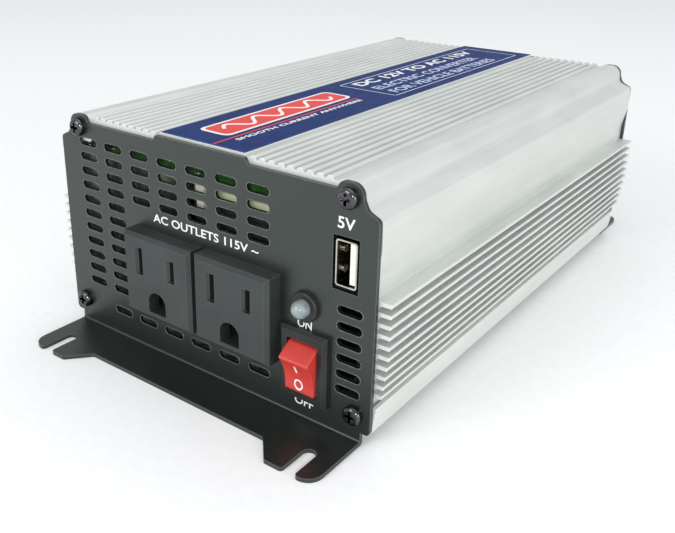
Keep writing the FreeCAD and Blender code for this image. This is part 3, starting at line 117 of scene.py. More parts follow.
class Finish:
    """One material and the nodes that give it grain, edge wear with a painted edge highlight, and relief, on
    Object coordinates.
    """

    def __init__(self, name, roughness=0.5, metallic=0.0, **sockets):
        self.material = bpy.data.materials.new(name)
        self.material.use_nodes = True
        self.tree = self.material.node_tree
        self.shader = self.tree.nodes["Principled BSDF"]
        self.shader.inputs["Roughness"].default_value = roughness
        self.shader.inputs["Metallic"].default_value = metallic
        for socket, value in sockets.items():
            self.shader.inputs[socket.replace("_", " ")].default_value = value
        self.place = self.tree.nodes.new("ShaderNodeTexCoord").outputs["Object"]

    def link(self, source, target):
        """Joins an output to an input."""
        self.tree.links.new(source, target)

    def stretched(self, stretch):
        """Object coordinates in millimetres, stretched by a factor along each axis."""
        mapping = self.tree.nodes.new("ShaderNodeMapping")
        mapping.inputs["Scale"].default_value = [1.0 / MM / factor for factor in stretch]
        self.link(self.place, mapping.inputs["Vector"])
        return mapping.outputs["Vector"]

    def grain(self, size, stretch=(1.0, 1.0, 1.0), detail=2.0):
        """Noise whose blotches are about this many millimetres across."""
        noise = self.tree.nodes.new("ShaderNodeTexNoise")
        noise.inputs["Scale"].default_value = 1.0 / size
        noise.inputs["Detail"].default_value = detail
        self.link(self.stretched(stretch), noise.inputs["Vector"])
        return noise.outputs["Fac"]

    def between(self, factor, low, high, start=0.3, stop=0.7):
        """A number that runs from low to high as the factor runs from start to stop."""
        band = self.tree.nodes.new("ShaderNodeMapRange")
        limits = {"From Min": start, "From Max": stop, "To Min": low, "To Max": high}
        for socket, value in limits.items():
            band.inputs[socket].default_value = value
        self.link(factor, band.inputs["Value"])
        return band.outputs["Result"]

    def tint(self, factor, low, high, start=0.3, stop=0.7):
        """A colour that runs from low to high as the factor runs from start to stop."""
        ramp = self.tree.nodes.new("ShaderNodeValToRGB")
        ramp.color_ramp.elements[0].position = start
        ramp.color_ramp.elements[1].position = stop
        ramp.color_ramp.elements[0].color = (*low, 1.0)
        ramp.color_ramp.elements[1].color = (*high, 1.0)
        self.link(factor, ramp.inputs["Fac"])
        return ramp.outputs["Color"]

    def over(self, factor, below, above):
        """One colour laid over another where the factor is 1."""
        mix = self.tree.nodes.new("ShaderNodeMix")
        mix.data_type = "RGBA"
        self.link(factor, mix.inputs[0])
        colours = [socket for socket in mix.inputs if socket.type == "RGBA"]
        for socket, value in zip(colours, (below, above)):
            if isinstance(value, tuple):
                socket.default_value = (*value, 1.0)
            else:
                self.link(value, socket)
        return next(socket for socket in mix.outputs if socket.type == "RGBA")

    def added(self, first, second, operation="ADD"):
        """The sum of two heights or shares, or another operation on them."""
        total = self.tree.nodes.new("ShaderNodeMath")
        total.operation = operation
        for number, value in enumerate((first, second)):
            if isinstance(value, float):
                total.inputs[number].default_value = value
            else:
                self.link(value, total.inputs[number])
        return total.outputs[0]

    def share(self, source, part):
        """A part of a height or share."""
        return self.added(source, part, "MULTIPLY")

    def edges(self, radius, start, stop):
        """1 along sharp edges and 0 on flats, from how far a rounded normal leaves the true one."""
        rounded = self.tree.nodes.new("ShaderNodeBevel")
        rounded.samples = EDGE_SAMPLES
        rounded.inputs["Radius"].default_value = radius * MM
        plain = self.tree.nodes.new("ShaderNodeNewGeometry")
        apart = self.tree.nodes.new("ShaderNodeVectorMath")
        apart.operation = "DISTANCE"
        self.link(rounded.outputs["Normal"], apart.inputs[0])
        self.link(plain.outputs["Normal"], apart.inputs[1])
        return self.between(apart.outputs["Value"], 0.0, 1.0, start, stop)

    def colour(self, source):
        """Sends a colour to the shader."""
        self.link(source, self.shader.inputs["Base Color"])

    def gloss(self, source):
        """Sends a roughness to the shader."""
        self.link(source, self.shader.inputs["Roughness"])

    def relief(self, height, depth, strength):
        """Bump from a height that spans this many millimetres."""
        bump = self.tree.nodes.new("ShaderNodeBump")
        bump.inputs["Distance"].default_value = depth * MM
        bump.inputs["Strength"].default_value = strength
        self.link(height, bump.inputs["Height"])
        self.link(bump.outputs["Normal"], self.shader.inputs["Normal"])


def matte_extrusion(name, low, high, edge_wear_and_highlight):
    """Blasted and anodised aluminium, drawn lengthwise."""
    finish = Finish(name, metallic=0.55)
    draw_lines = finish.grain(size=0.6, stretch=(1.0, 120.0, 1.0))
    blotches = finish.grain(size=9.0, stretch=(1.0, 2.5, 1.0))
    speckle = finish.grain(size=0.3)
    streaks = finish.added(finish.share(draw_lines, 0.5), finish.share(blotches, 0.5))
    skin = finish.tint(streaks, low, high, start=0.32, stop=0.66)
    pits = finish.between(speckle, low=0.55, high=0.0, start=0.3, stop=0.5)
    skin = finish.over(pits, skin, low)
    # Edges lighter: wear and a painted edge highlight, over the Bevel node's edge mask.
    edges = finish.edges(radius=0.35, start=0.05, stop=0.6)
    finish.colour(finish.over(edges, skin, edge_wear_and_highlight))
    finish.gloss(finish.between(blotches, low=0.42, high=0.54))
    finish.relief(finish.added(speckle, finish.share(draw_lines, 0.15)), depth=0.03, strength=0.5)
    return finish.material


def powder_coat(name):
    """Dark satin powder coat with a fine orange peel, thin along the edges and coloured lighter there: wear
    and a painted edge highlight.
    """
    finish = Finish(name, Specular_IOR_Level=0.85, Specular_Tint=(0.86, 1.0, 0.93, 1.0))
    peel = finish.grain(size=0.55)
    fine = finish.grain(size=0.14, detail=1.0)
    cloud = finish.grain(size=22.0)
    skin = finish.tint(cloud, low=(0.003, 0.0038, 0.0034), high=(0.0055, 0.0068, 0.0062))
    dust = finish.between(fine, low=0.0, high=0.5, start=0.52, stop=0.75)
    skin = finish.over(dust, skin, (0.04, 0.046, 0.042))
    # Edges lighter: thin coat and a painted edge highlight.
    edges = finish.edges(radius=0.28, start=0.08, stop=0.7)
    finish.colour(finish.over(edges, skin, (0.12, 0.13, 0.125)))
    finish.gloss(finish.between(peel, low=0.29, high=0.45))
    finish.relief(finish.added(peel, finish.share(fine, 0.6)), depth=0.04, strength=0.7)
    return finish.material


def highlighted_lip(name):
    """Powder coat on the punched slots' lips, coloured much lighter than the panel as a painted edge
    highlight.
    """
    finish = Finish(name, Specular_IOR_Level=0.9)
    lip_tone = finish.grain(size=1.4)
    # Painted highlight: the lip colours are far lighter than the panel's coat.
    finish.colour(finish.tint(lip_tone, low=(0.04, 0.045, 0.042), high=(0.13, 0.14, 0.135)))
    finish.gloss(finish.between(lip_tone, low=0.25, high=0.4))
    finish.relief(finish.grain(size=0.3), depth=0.01, strength=0.4)
    return finish.material


def moulded(name, low, high, roughness=(0.38, 0.5), texture=0.25, depth=0.012, edge_wear_and_highlight=None, **sockets):
    """Moulded plastic with a fine spark-eroded texture, and paler edges, wear and a painted edge highlight,
    where an edge colour is given.
    """
    finish = Finish(name, **sockets)
    spark = finish.grain(size=texture)
    cloud = finish.grain(size=14.0)
    skin = finish.tint(cloud, low, high)
    if edge_wear_and_highlight:
        # Paler edges: wear and a painted edge highlight.
        edges = finish.edges(radius=0.2, start=0.1, stop=0.9)
        skin = finish.over(edges, skin, edge_wear_and_highlight)
    finish.colour(skin)
    finish.gloss(finish.between(spark, *roughness))
    finish.relief(spark, depth, strength=0.5)
    return finish.material


def bare_metal(name, low, high, roughness=(0.2, 0.38), stretch=(1.0, 1.0, 1.0)):
    """Plated or turned metal with fine marks and uneven polish."""
    finish = Finish(name, metallic=1.0)
    marks = finish.grain(size=0.5, stretch=stretch, detail=3.0)
    stain = finish.grain(size=6.0)
    finish.colour(finish.tint(stain, low, high))
    finish.gloss(finish.between(marks, *roughness))
    finish.relief(marks, depth=0.008, strength=0.35)
    return finish.material


def socket_plate(name):
    """Tin plate, bright at the mouth of the shell, with painted shade inside it: dark colour from just behind
    the mouth inwards.
    """
    finish = Finish(name, metallic=1.0)
    depth = finish.tree.nodes.new("ShaderNodeSeparateXYZ")
    finish.link(finish.place, depth.inputs["Vector"])
    # Painted shade: the mask runs from 0 at the mouth to 1 about a millimetre inside, where the plate is
    # coloured dark.
    mouth_start, mouth_end = (FRONT - 0.2) * MM, (FRONT + 0.9) * MM
    painted_shade_mask = finish.between(depth.outputs["Y"], low=0.0, high=1.0, start=mouth_start, stop=mouth_end)
    stain = finish.grain(size=3.0)
    bright = finish.tint(stain, low=(0.70, 0.68, 0.58), high=(0.86, 0.84, 0.76))
    painted_shade_colour = finish.tint(stain, low=(0.05, 0.045, 0.03), high=(0.10, 0.09, 0.06))
    finish.colour(finish.over(painted_shade_mask, bright, painted_shade_colour))
    finish.gloss(finish.between(finish.grain(size=0.5), low=0.22, high=0.36))
    finish.relief(finish.grain(size=0.4), depth=0.008, strength=0.35)
    return finish.material


def circuit_board(name):
    """Green solder mask over glass cloth, with paler tracks under it."""
    finish = Finish(name, Coat_Weight=0.25, Coat_Roughness=0.2)
    weave = finish.grain(size=0.5, stretch=(1.0, 4.0, 1.0))
    tracks = finish.tree.nodes.new("ShaderNodeTexBrick")
    finish.link(finish.stretched((1.0, 1.0, 1.0)), tracks.inputs["Vector"])
    tracks.inputs["Scale"].default_value = 0.12
    tracks.inputs["Mortar Size"].default_value = 0.03
    mask = finish.tint(weave, low=(0.035, 0.16, 0.035), high=(0.07, 0.26, 0.06))
    finish.colour(finish.over(tracks.outputs["Fac"], mask, (0.14, 0.40, 0.10)))
    finish.gloss(finish.between(weave, low=0.3, high=0.45))
    finish.relief(weave, depth=0.02, strength=0.4)
    return finish.material


def wound_wire(name, low, high, pitch):
    """Closely wound enamelled wire, its turns shown as fine ridges."""
    finish = Finish(name, metallic=0.9)
    turns = finish.tree.nodes.new("ShaderNodeTexWave")
    bands_in_scale = 3.0
    turns.inputs["Scale"].default_value = 1.0 / pitch / bands_in_scale
    turns.inputs["Distortion"].default_value = 0.6
    finish.link(finish.stretched((1.0, 1.0, 1.0)), turns.inputs["Vector"])
    finish.colour(finish.tint(turns.outputs["Fac"], low, high, start=0.1, stop=0.8))
    finish.gloss(finish.between(finish.grain(size=1.0), low=0.2, high=0.4))
    finish.relief(turns.outputs["Fac"], depth=0.2, strength=0.7)
    return finish.material


def label_film(name):
    """Printed royal blue film over the fine lines of the metal beneath."""
    finish = Finish(name, Specular_IOR_Level=0.1)
    ink = finish.grain(size=5.0)
    fibre = finish.grain(size=0.3, stretch=(1.0, 20.0, 1.0))
    skin = finish.tint(ink, low=(0.003, 0.020, 0.112), high=(0.006, 0.029, 0.145))
    # Paler edges: a painted edge highlight along the film's rim.
    edges = finish.edges(radius=0.15, start=0.1, stop=0.8)
    finish.colour(finish.over(edges, skin, (0.16, 0.2, 0.34)))
    finish.gloss(finish.between(fibre, low=0.45, high=0.6))
    finish.relief(fibre, depth=0.01, strength=0.4)
    return finish.material


def print_ink(name, low, high):
    """Screen-printed ink, a little uneven."""
    finish = Finish(name)
    cover = finish.grain(size=0.5, detail=3.0)
    finish.colour(finish.tint(cover, low, high))
    finish.gloss(finish.between(cover, low=0.4, high=0.55))
    finish.relief(cover, depth=0.01, strength=0.4)
    return finish.material


def frosted_dome(name):
    """Milky epoxy of the lamp, clouded unevenly."""
    finish = Finish(name, Transmission_Weight=0.15, IOR=1.5, Subsurface_Weight=0.2, Subsurface_Scale=0.002)
    cloud = finish.grain(size=1.6)
    finish.colour(finish.tint(cloud, low=(0.19, 0.24, 0.25), high=(0.33, 0.38, 0.39)))
    finish.gloss(finish.between(cloud, low=0.1, high=0.2))
    finish.relief(finish.grain(size=0.3), depth=0.01, strength=0.3)
    return finish.material


FINISHES = {
    "silver_extrusion": matte_extrusion(
        "anodised_extrusion", (0.61, 0.635, 0.605), (0.68, 0.705, 0.675), edge_wear_and_highlight=(0.93, 0.94, 0.93)),
    "silver_floor": matte_extrusion(
        "anodised_floor", (0.66, 0.68, 0.65), (0.74, 0.76, 0.73), edge_wear_and_highlight=(0.93, 0.94, 0.93)),
    "panel_powder_coat": powder_coat("panel_powder_coat"),
    "label_print": label_film("blue_label_film"),
    "black_nickel": bare_metal(
        "black_nickel_plate", (0.05, 0.05, 0.052), (0.12, 0.12, 0.125), roughness=(0.1, 0.2)),
    "outlet_plastic": moulded(
        "outlet_black_plastic", (0.021, 0.024, 0.024), (0.032, 0.036, 0.036), roughness=(0.36, 0.48),
        texture=0.35, depth=0.03, edge_wear_and_highlight=(0.13, 0.14, 0.14), Specular_Tint=(0.88, 1.0, 0.96, 1.0)),
    "contact_brass": bare_metal("spring_brass", (0.55, 0.36, 0.12), (0.72, 0.5, 0.2)),
    "switch_plastic": moulded(
        "bezel_black_plastic", (0.012, 0.013, 0.013), (0.022, 0.023, 0.023), roughness=(0.28, 0.4),
        edge_wear_and_highlight=(0.1, 0.1, 0.1), Specular_IOR_Level=0.35),
    "rocker_red": moulded(
        "rocker_red_plastic", (0.50, 0.036, 0.028), (0.58, 0.048, 0.036), roughness=(0.3, 0.4),
        edge_wear_and_highlight=(0.82, 0.10, 0.07), Subsurface_Weight=0.08, Subsurface_Scale=0.001),
    "lamp_frosted": frosted_dome("lamp_milky_epoxy"),
    "socket_steel": socket_plate("socket_tin_plate"),
    "socket_white": moulded("socket_tongue_plastic", (0.72, 0.71, 0.60), (0.80, 0.79, 0.68)),
    "board_green": circuit_board("board_solder_mask"),
    "fan_plastic": moulded(
        "fan_black_plastic", (0.012, 0.012, 0.013), (0.022, 0.022, 0.023), roughness=(0.35, 0.5)),
    "bright_steel": bare_metal("bright_nickel", (0.62, 0.61, 0.58), (0.8, 0.79, 0.76)),
    "winding_copper": wound_wire("enamelled_copper", (0.22, 0.06, 0.02), (0.72, 0.28, 0.10), pitch=0.6),
    "guard_wire": bare_metal(
        "guard_chrome_wire", (0.55, 0.56, 0.57), (0.75, 0.76, 0.77), roughness=(0.12, 0.25)),
    "terminal_black": moulded("terminal_black_plastic", (0.014, 0.014, 0.015), (0.026, 0.026, 0.027)),
    "knob_red": moulded(
        "knob_red_plastic", (0.48, 0.018, 0.014), (0.6, 0.028, 0.02), edge_wear_and_highlight=(0.75, 0.1, 0.08)),
    "knob_black": moulded(
        "knob_black_plastic", (0.014, 0.014, 0.015), (0.028, 0.028, 0.03), edge_wear_and_highlight=(0.09, 0.09, 0.09)),
    "ferrite": moulded(
        "ferrite_grey", (0.03, 0.03, 0.032), (0.06, 0.06, 0.063), roughness=(0.5, 0.7), texture=0.4,
        depth=0.03),
    "winding_tape": moulded(
        "winding_yellow_tape", (0.94, 0.91, 0.55), (0.97, 0.95, 0.66), roughness=(0.3, 0.42), texture=0.8),
    "capacitor_sleeve": moulded(
        "capacitor_dark_sleeve", (0.02, 0.022, 0.03), (0.045, 0.048, 0.06), roughness=(0.25, 0.4)),
    "plain_aluminium": bare_metal(
        "plain_aluminium", (0.72, 0.73, 0.73), (0.86, 0.87, 0.87), roughness=(0.3, 0.5),
        stretch=(1.0, 1.0, 12.0)),
    "choke_core_paint": moulded("choke_yellow_paint", (0.55, 0.42, 0.05), (0.7, 0.56, 0.1)),
    "chip_epoxy": moulded(
        "chip_black_epoxy", (0.012, 0.012, 0.012), (0.02, 0.02, 0.02), roughness=(0.5, 0.65)),
    "fuse_plastic": moulded(
        "fuse_amber_plastic", (0.6, 0.18, 0.02), (0.72, 0.26, 0.04), roughness=(0.15, 0.3)),
    "film_box": moulded("film_capacitor_box", (0.35, 0.36, 0.33), (0.48, 0.49, 0.45)),
    "lead_insulation": moulded("lead_pvc", (0.5, 0.02, 0.015), (0.6, 0.03, 0.02), roughness=(0.3, 0.42)),
    "lead_black": moulded(
        "lead_black_pvc", (0.014, 0.014, 0.014), (0.03, 0.03, 0.03), roughness=(0.3, 0.42)),
}
# Painted edge highlight on the slot lips.
SLOT_LIP = highlighted_lip("slot_lip_coat")
INK_WHITE = print_ink("white_ink", (0.74, 0.75, 0.74), (0.86, 0.87, 0.86))
INK_PALE = print_ink("pale_blue_ink", (0.42, 0.48, 0.66), (0.55, 0.6, 0.76))
INK_RED = print_ink("red_ink", (0.62, 0.02, 0.016), (0.75, 0.035, 0.025))
SOLDER = bare_metal("solder_points", (0.6, 0.61, 0.6), (0.8, 0.81, 0.8), roughness=(0.2, 0.4))
SPRING_PLATE = bare_metal("spring_tin_plate", (0.72, 0.70, 0.60), (0.88, 0.86, 0.78), roughness=(0.2, 0.34))

slot_of_node = {row["node"]: row["material_slot"] for row in frame["record"]["subparts"]}
for node, item in frame["nodes"].items():
    finish = SPRING_PLATE if node == "socket_springs" else FINISHES[slot_of_node[node]]
    item.data.materials.clear()
    item.data.materials.append(finish)


# ---------------------------------------------------------------- new pieces


MERGE_DISTANCE = 1e-7


def piece_from(name, mesh, body, finish):
    """Adds a finished mesh to the scene as a piece on a body."""
    made = bpy.data.objects.new(name, mesh)
    bpy.context.scene.collection.objects.link(made)
    mesh.name = name
    mesh.materials.clear()
    mesh.materials.append(finish)
    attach(made, body)


def joined(meshes):
    """Several meshes as one, with doubled points merged and faces turned outwards."""
    whole = bmesh.new()
    for mesh in meshes:
        whole.from_mesh(mesh)
        bpy.data.meshes.remove(mesh)
    bmesh.ops.remove_doubles(whole, verts=whole.verts, dist=MERGE_DISTANCE)
    bmesh.ops.recalc_face_normals(whole, faces=whole.faces)
    result = bpy.data.meshes.new("joined")
    whole.to_mesh(result)
    whole.free()
    return result


def curve_mesh(curve):
    """A plain mesh of a curve or text, which is then removed."""
    holder = bpy.data.objects.new("holder", curve)
    bpy.context.scene.collection.objects.link(holder)
    drawn = bpy.context.evaluated_depsgraph_get()
    mesh = bpy.data.meshes.new_from_object(holder.evaluated_get(drawn))
    bpy.data.objects.remove(holder)
    bpy.data.curves.remove(curve)
    return mesh


INK_THICKNESS = 0.05
LETTER_STEPS = 4


def lettering(words, length, height, start, reading, upward, weight):
    """Raised print: words that fill a length and a height from a starting corner."""
    curve = bpy.data.curves.new("words", "FONT")
    curve.body = words
    curve.offset = weight
    curve.extrude = 0.5
    curve.resolution_u = LETTER_STEPS
    mesh = curve_mesh(curve)
    low = [min(point.co[axis] for point in mesh.vertices) for axis in range(2)]
    high = [max(point.co[axis] for point in mesh.vertices) for axis in range(2)]
    along, up = Vector(reading), Vector(upward)
    out = along.cross(up)
    for point in mesh.vertices:
        across = (point.co.x - low[0]) / (high[0] - low[0]) * length
        rise = (point.co.y - low[1]) / (high[1] - low[1]) * height
        place = Vector(start) + along * across + up * rise + out * (point.co.z * INK_THICKNESS)
        point.co = place * MM
    return mesh


def strip(corners, out):
    """A flat printed shape through its corners, as thick as the ink."""
    shape = bmesh.new()
    lift = Vector(out) * INK_THICKNESS * 0.5
    top = [shape.verts.new((Vector(corner) + lift) * MM) for corner in corners]
    base = [shape.verts.new((Vector(corner) - lift) * MM) for corner in corners]
    shape.faces.new(top)
    shape.faces.new(list(reversed(base)))
    count = len(corners)
    for number in range(count):
        following = (number + 1) % count
        shape.faces.new((top[following], top[number], base[number], base[following]))
    bmesh.ops.triangulate(shape, faces=[face for face in shape.faces if len(face.verts) > 4])
    mesh = bpy.data.meshes.new("strip")
    shape.to_mesh(mesh)
    shape.free()
    return mesh


def on_label(across, along, lift=0.0):
    """A point on the label's top face, or lifted above it."""
    return (across, along, LABEL_TOP + lift)


def label_bar(left, right, start, stop):
    """A straight bar on the label."""
    corners = ((left, start), (right, start), (right, stop), (left, stop))
    return strip([on_label(*corner) for corner in corners], UP)


CORNER_STEPS = 6


def rounded_bar(left, right, start, stop, radius, lift):
    """A bar on the label with rounded corners."""
    middles = ((right - radius, stop - radius, 0), (left + radius, stop - radius, 90),
               (left + radius, start + radius, 180), (right - radius, start + radius, 270))
    corners = []
    for middle_x, middle_y, first in middles:
        for step in range(CORNER_STEPS + 1):
            angle = math.radians(first + step * 90 / CORNER_STEPS)
            across = middle_x + radius * math.cos(angle)
            along = middle_y + radius * math.sin(angle)
            corners.append(on_label(across, along, lift))
    return strip(corners, UP)


STEPS_PER_WAVE = 24


def wave_line(middle, start, stop, swing, waves, half_width, lift):
    """A sine wave drawn along the label as a row of short strips."""
    steps = STEPS_PER_WAVE * waves
    left, right = [], []
    for number in range(steps + 1):
        share = number / steps
        angle = share * waves * math.tau
        point = Vector(on_label(middle - swing * math.sin(angle), start + (stop - start) * share, lift))
        slope = -swing * math.cos(angle) * waves * math.tau / (stop - start)
        side = Vector((1.0, -slope, 0.0)).normalized() * half_width
        left.append(point - side)
        right.append(point + side)
    return [strip([left[number], right[number], right[number + 1], left[number + 1]], UP)
            for number in range(steps)]


# The label's print: the frame round the words, the wave mark, and the rows of words as
# (words, length along the label, letter height, across, along, weight).
FRAME_LEFT, FRAME_RIGHT, FRAME_START, FRAME_STOP, FRAME_LINE = -11.1, 11.6, -11.0, 84.5, 0.3
MARK_EDGE = dict(left=-9.4, right=1.9, start=-82.6, stop=-21.8, radius=2.4)
MARK_FIELD = dict(left=-8.4, right=0.9, start=-81.4, stop=-23.0, radius=1.9)
MARK_UNDERLINE = dict(left=3.6, right=4.2, start=-90.2, stop=-22.7)
MARK_WAVE = dict(middle=-3.75, start=-77.5, stop=-27.0, swing=2.6, waves=4, half_width=0.55)
WHITE_ROWS = (
    ("DC 12V TO AC 115V", 84.0, 4.9, -4.4, -6.5, 0.03),
    ("SMOOTH CURRENT ANYWHERE", 60.0, 1.7, 7.0, -83.5, 0.02),
)
PALE_ROWS = (
    ("ELECTRIC CONVERTER", 74.0, 4.2, 3.0, -6.5, 0.015),
    ("FOR VEHICLE BATTERIES", 76.0, 4.2, 9.6, -6.5, 0.015),
)


def label_rows(rows):
    """Rows of words that read along the label."""
    return [lettering(words, length, height, on_label(across, along), BACK, LEFT, weight)
            for words, length, height, across, along, weight in rows]


def make_label_print():
    """The label's generic graphics: a wave mark with its underline, and three lines in a frame."""
    frame_bars = [
        label_bar(FRAME_LEFT, FRAME_LEFT + FRAME_LINE, FRAME_START, FRAME_STOP),
        label_bar(FRAME_RIGHT - FRAME_LINE, FRAME_RIGHT, FRAME_START, FRAME_STOP),
        label_bar(FRAME_LEFT, FRAME_RIGHT, FRAME_START, FRAME_START + FRAME_LINE),
        label_bar(FRAME_LEFT, FRAME_RIGHT, FRAME_STOP - FRAME_LINE, FRAME_STOP)]
    white = [rounded_bar(**MARK_EDGE, lift=0.0), *frame_bars, *label_rows(WHITE_ROWS)]
    piece_from("label_white_print", joined(white), "case", INK_WHITE)
    red = [rounded_bar(**MARK_FIELD, lift=INK_THICKNESS), label_bar(**MARK_UNDERLINE)]
    piece_from("label_red_print", joined(red), "case", INK_RED)
    waves = wave_line(**MARK_WAVE, lift=INK_THICKNESS * 2.0)
    piece_from("label_wave_print", joined(waves), "case", INK_WHITE)
    piece_from("label_pale_print", joined(label_rows(PALE_ROWS)), "case", INK_PALE)


# Legends as (words, length, letter height, across, up, weight).
LEGEND_WEIGHT = 0.012
FRONT_LEGENDS = (
    ("AC OUTLETS 115V ~", 39.5, 2.5, -18.6, 44.2, LEGEND_WEIGHT),
    ("5V", 5.0, 3.0, 45.7, 58.9, LEGEND_WEIGHT),
    ("ON", 4.6, 2.4, 34.0, 28.3, LEGEND_WEIGHT),
    ("OFF", 6.2, 2.4, 33.4, 4.7, LEGEND_WEIGHT),
)
REAR_LEGENDS = (
    ("DC INPUT 12V", 26.0, 2.6, -17.0, 24.6, LEGEND_WEIGHT),
    ("+", 2.6, 2.6, -16.7, 49.6, 0.02),
)
# Bars on the rear panel as (left, right, low, high): the minus, and the earth symbol's stem and lines.
MINUS_BAR = (-43.3, -40.7, 50.6, 51.2)
EARTH_BARS = (
    (-30.2, -29.8, 43.6, 45.4),
    (-31.5, -28.5, 43.3, 43.65),
    (-31.0, -29.0, 42.6, 42.95),
    (-30.5, -29.5, 41.9, 42.25),
)


def panel_words(legends, face, reading):
    """Legends on a panel's outer face."""
    return [lettering(words, length, height, (across, face, up), reading, UP, weight)
            for words, length, height, across, up, weight in legends]


def rear_bar(left, right, low, high):
    """A straight bar on the rear panel."""
    return strip([(right, REAR, low), (left, REAR, low), (left, REAR, high), (right, REAR, high)], BACK)


def make_panel_legends():
    """The white legends printed on the front panel."""
    words = panel_words(FRONT_LEGENDS, FRONT, RIGHT)
    piece_from("panel_legends", joined(words), "case", INK_WHITE)


def make_rear_legends():
    """The polarity, earth and input marks printed on the rear panel."""
    marks = panel_words(REAR_LEGENDS, REAR, LEFT)
    marks += [rear_bar(*edges) for edges in (MINUS_BAR, *EARTH_BARS)]
    piece_from("rear_legends", joined(marks), "case", INK_WHITE)


# The rocker at rest: its pivot, its tilt, and its face, a dish with a straight slope at each end.
ROCKER_PIVOT = Vector((37.0, -90.25, 17.8))
ROCKER_TILT = Matrix.Rotation(math.radians(16.0), 3, "X")
DISH_RADIUS = 14.0
DISH_MIDDLE = -19.95
DISH_END = 3.86
SLOPE_START = -5.39
SLOPE = -0.2875


def rocker_face(across, rise):
    """A point on the rocker's dished face, tilted as it rests."""
    if abs(rise) < DISH_END:
        depth = DISH_MIDDLE + math.sqrt(DISH_RADIUS**2 - rise**2)
    else:
        depth = SLOPE_START + SLOPE * abs(rise)
    return ROCKER_PIVOT + ROCKER_TILT @ Vector((across, depth, rise))


def rocker_patch(grid):
    """A thin mark that follows the rocker's face, from a grid of (across, rise) rows."""
    shape = bmesh.new()
    lift = ROCKER_TILT @ Vector((0, -INK_THICKNESS, 0))
    sheets = []
    for offset in (lift, -lift):
        sheets.append([[shape.verts.new((rocker_face(*spot) + offset) * MM) for spot in row] for row in grid])
    rows, columns = len(grid), len(grid[0])
    for sheet in sheets:
        for row in range(rows - 1):
            for column in range(columns - 1):
                shape.faces.new((sheet[row][column], sheet[row][column + 1],
                                 sheet[row + 1][column + 1], sheet[row + 1][column]))
    rim = [(0, column) for column in range(columns)] + [(row, columns - 1) for row in range(1, rows)]
    rim += [(rows - 1, column) for column in range(columns - 2, -1, -1)]
    rim += [(row, 0) for row in range(rows - 2, 0, -1)]
    for number in range(len(rim)):
        first, second = rim[number], rim[(number + 1) % len(rim)]
        shape.faces.new((sheets[0][first[0]][first[1]], sheets[0][second[0]][second[1]],
                         sheets[1][second[0]][second[1]], sheets[1][first[0]][first[1]]))
    mesh = bpy.data.meshes.new("patch")
    shape.to_mesh(mesh)
    shape.free()
    return mesh


BAR_HALF_WIDTH, BAR_LOW, BAR_LENGTH, BAR_STEPS = 0.28, 1.0, 2.6, 8
RING_INSIDE, RING_OUTSIDE, RING_STRETCH, RING_MIDDLE, RING_STEPS = 1.0, 1.42, 1.15, -3.0, 40


def make_rocker_marks():
    """The on bar and the off ring on the rocker."""
    bar = [[(side, BAR_LOW + BAR_LENGTH * step / BAR_STEPS) for side in (-BAR_HALF_WIDTH, BAR_HALF_WIDTH)]
           for step in range(BAR_STEPS + 1)]
    ring = []
    for step in range(RING_STEPS + 1):
        angle = math.tau * step / RING_STEPS
        ring.append([(radius * math.sin(angle), RING_MIDDLE + RING_STRETCH * radius * math.cos(angle))
                     for radius in (RING_INSIDE, RING_OUTSIDE)])
    marks = joined([rocker_patch(bar), rocker_patch(ring)])
    piece_from("rocker_marks", marks, "rocker", INK_WHITE)


# ---------------------------------------------------------------- repeated pieces by Geometry Nodes


class Tree:
    """A Geometry Nodes tree with named inputs, ended by Realize Instances and Set Material."""

    def __init__(self, name):
        self.tree = bpy.data.node_groups.new(name, "GeometryNodeTree")
        self.tree.interface.new_socket("Geometry", in_out="OUTPUT", socket_type="NodeSocketGeometry")
        self.entry = self.tree.nodes.new("NodeGroupInput")
        self.values = {}

    def number(self, name, value, kind="NodeSocketFloat"):
        """A named input of the tree and the value that it gets."""
        socket = self.tree.interface.new_socket(name, in_out="INPUT", socket_type=kind)
        self.values[socket.identifier] = value
        return self.entry.outputs[name]

    def node(self, kind, inputs, **settings):
        """A node with its settings, and its inputs linked or set."""
        made = self.tree.nodes.new(kind)
        for name, value in settings.items():
            setattr(made, name, value)
        for name, value in inputs.items():
            socket = made.inputs[name]
            if isinstance(value, bpy.types.NodeSocket):
                self.tree.links.new(value, socket)
            else:
                socket.default_value = value
        return made

    def finish(self, geometry, material):
        """Realizes the geometry, sets its material and gives the plain mesh."""
        whole = self.node("GeometryNodeRealizeInstances", {"Geometry": geometry})
        coated = self.node("GeometryNodeSetMaterial",
                           {"Geometry": whole.outputs["Geometry"], "Material": material})
        end = self.tree.nodes.new("NodeGroupOutput")
        self.tree.links.new(coated.outputs["Geometry"], end.inputs["Geometry"])
        holder = bpy.data.objects.new("holder", bpy.data.meshes.new("holder"))
        bpy.context.scene.collection.objects.link(holder)
        modifier = holder.modifiers.new("build", "NODES")
        modifier.node_group = self.tree
        for identifier, value in self.values.items():
            modifier[identifier] = value
        drawn = bpy.context.evaluated_depsgraph_get()
        mesh = bpy.data.meshes.new_from_object(holder.evaluated_get(drawn))
        bpy.data.objects.remove(holder)
        return mesh


# The punched slots: their size, their steps, and grids as (across, up, columns, rows, row step).
SLOT_LENGTH, SLOT_WIDTH, LIP_RADIUS = 7.75, 2.6, 0.13
COLUMN_STEP, ROW_STEP, SIDE_ROW_STEP = 11.03, 4.57, 4.54
ROUND_END = 0.4999
END_STEPS, LIP_STEPS = 6, 6
FRONT_SLOTS = (
    (-45.32, 62.84, 2, 11, ROW_STEP),
    (-23.26, 62.84, 5, 4, ROW_STEP),
    (-34.29, 9.8, 6, 1, ROW_STEP),
    (50.14, 37.37, 1, 6, SIDE_ROW_STEP),
)
REAR_SLOTS = (
    (-46.0, 60.0, 4, 2, ROW_STEP),
    (-46.0, 20.0, 4, 2, ROW_STEP),
)


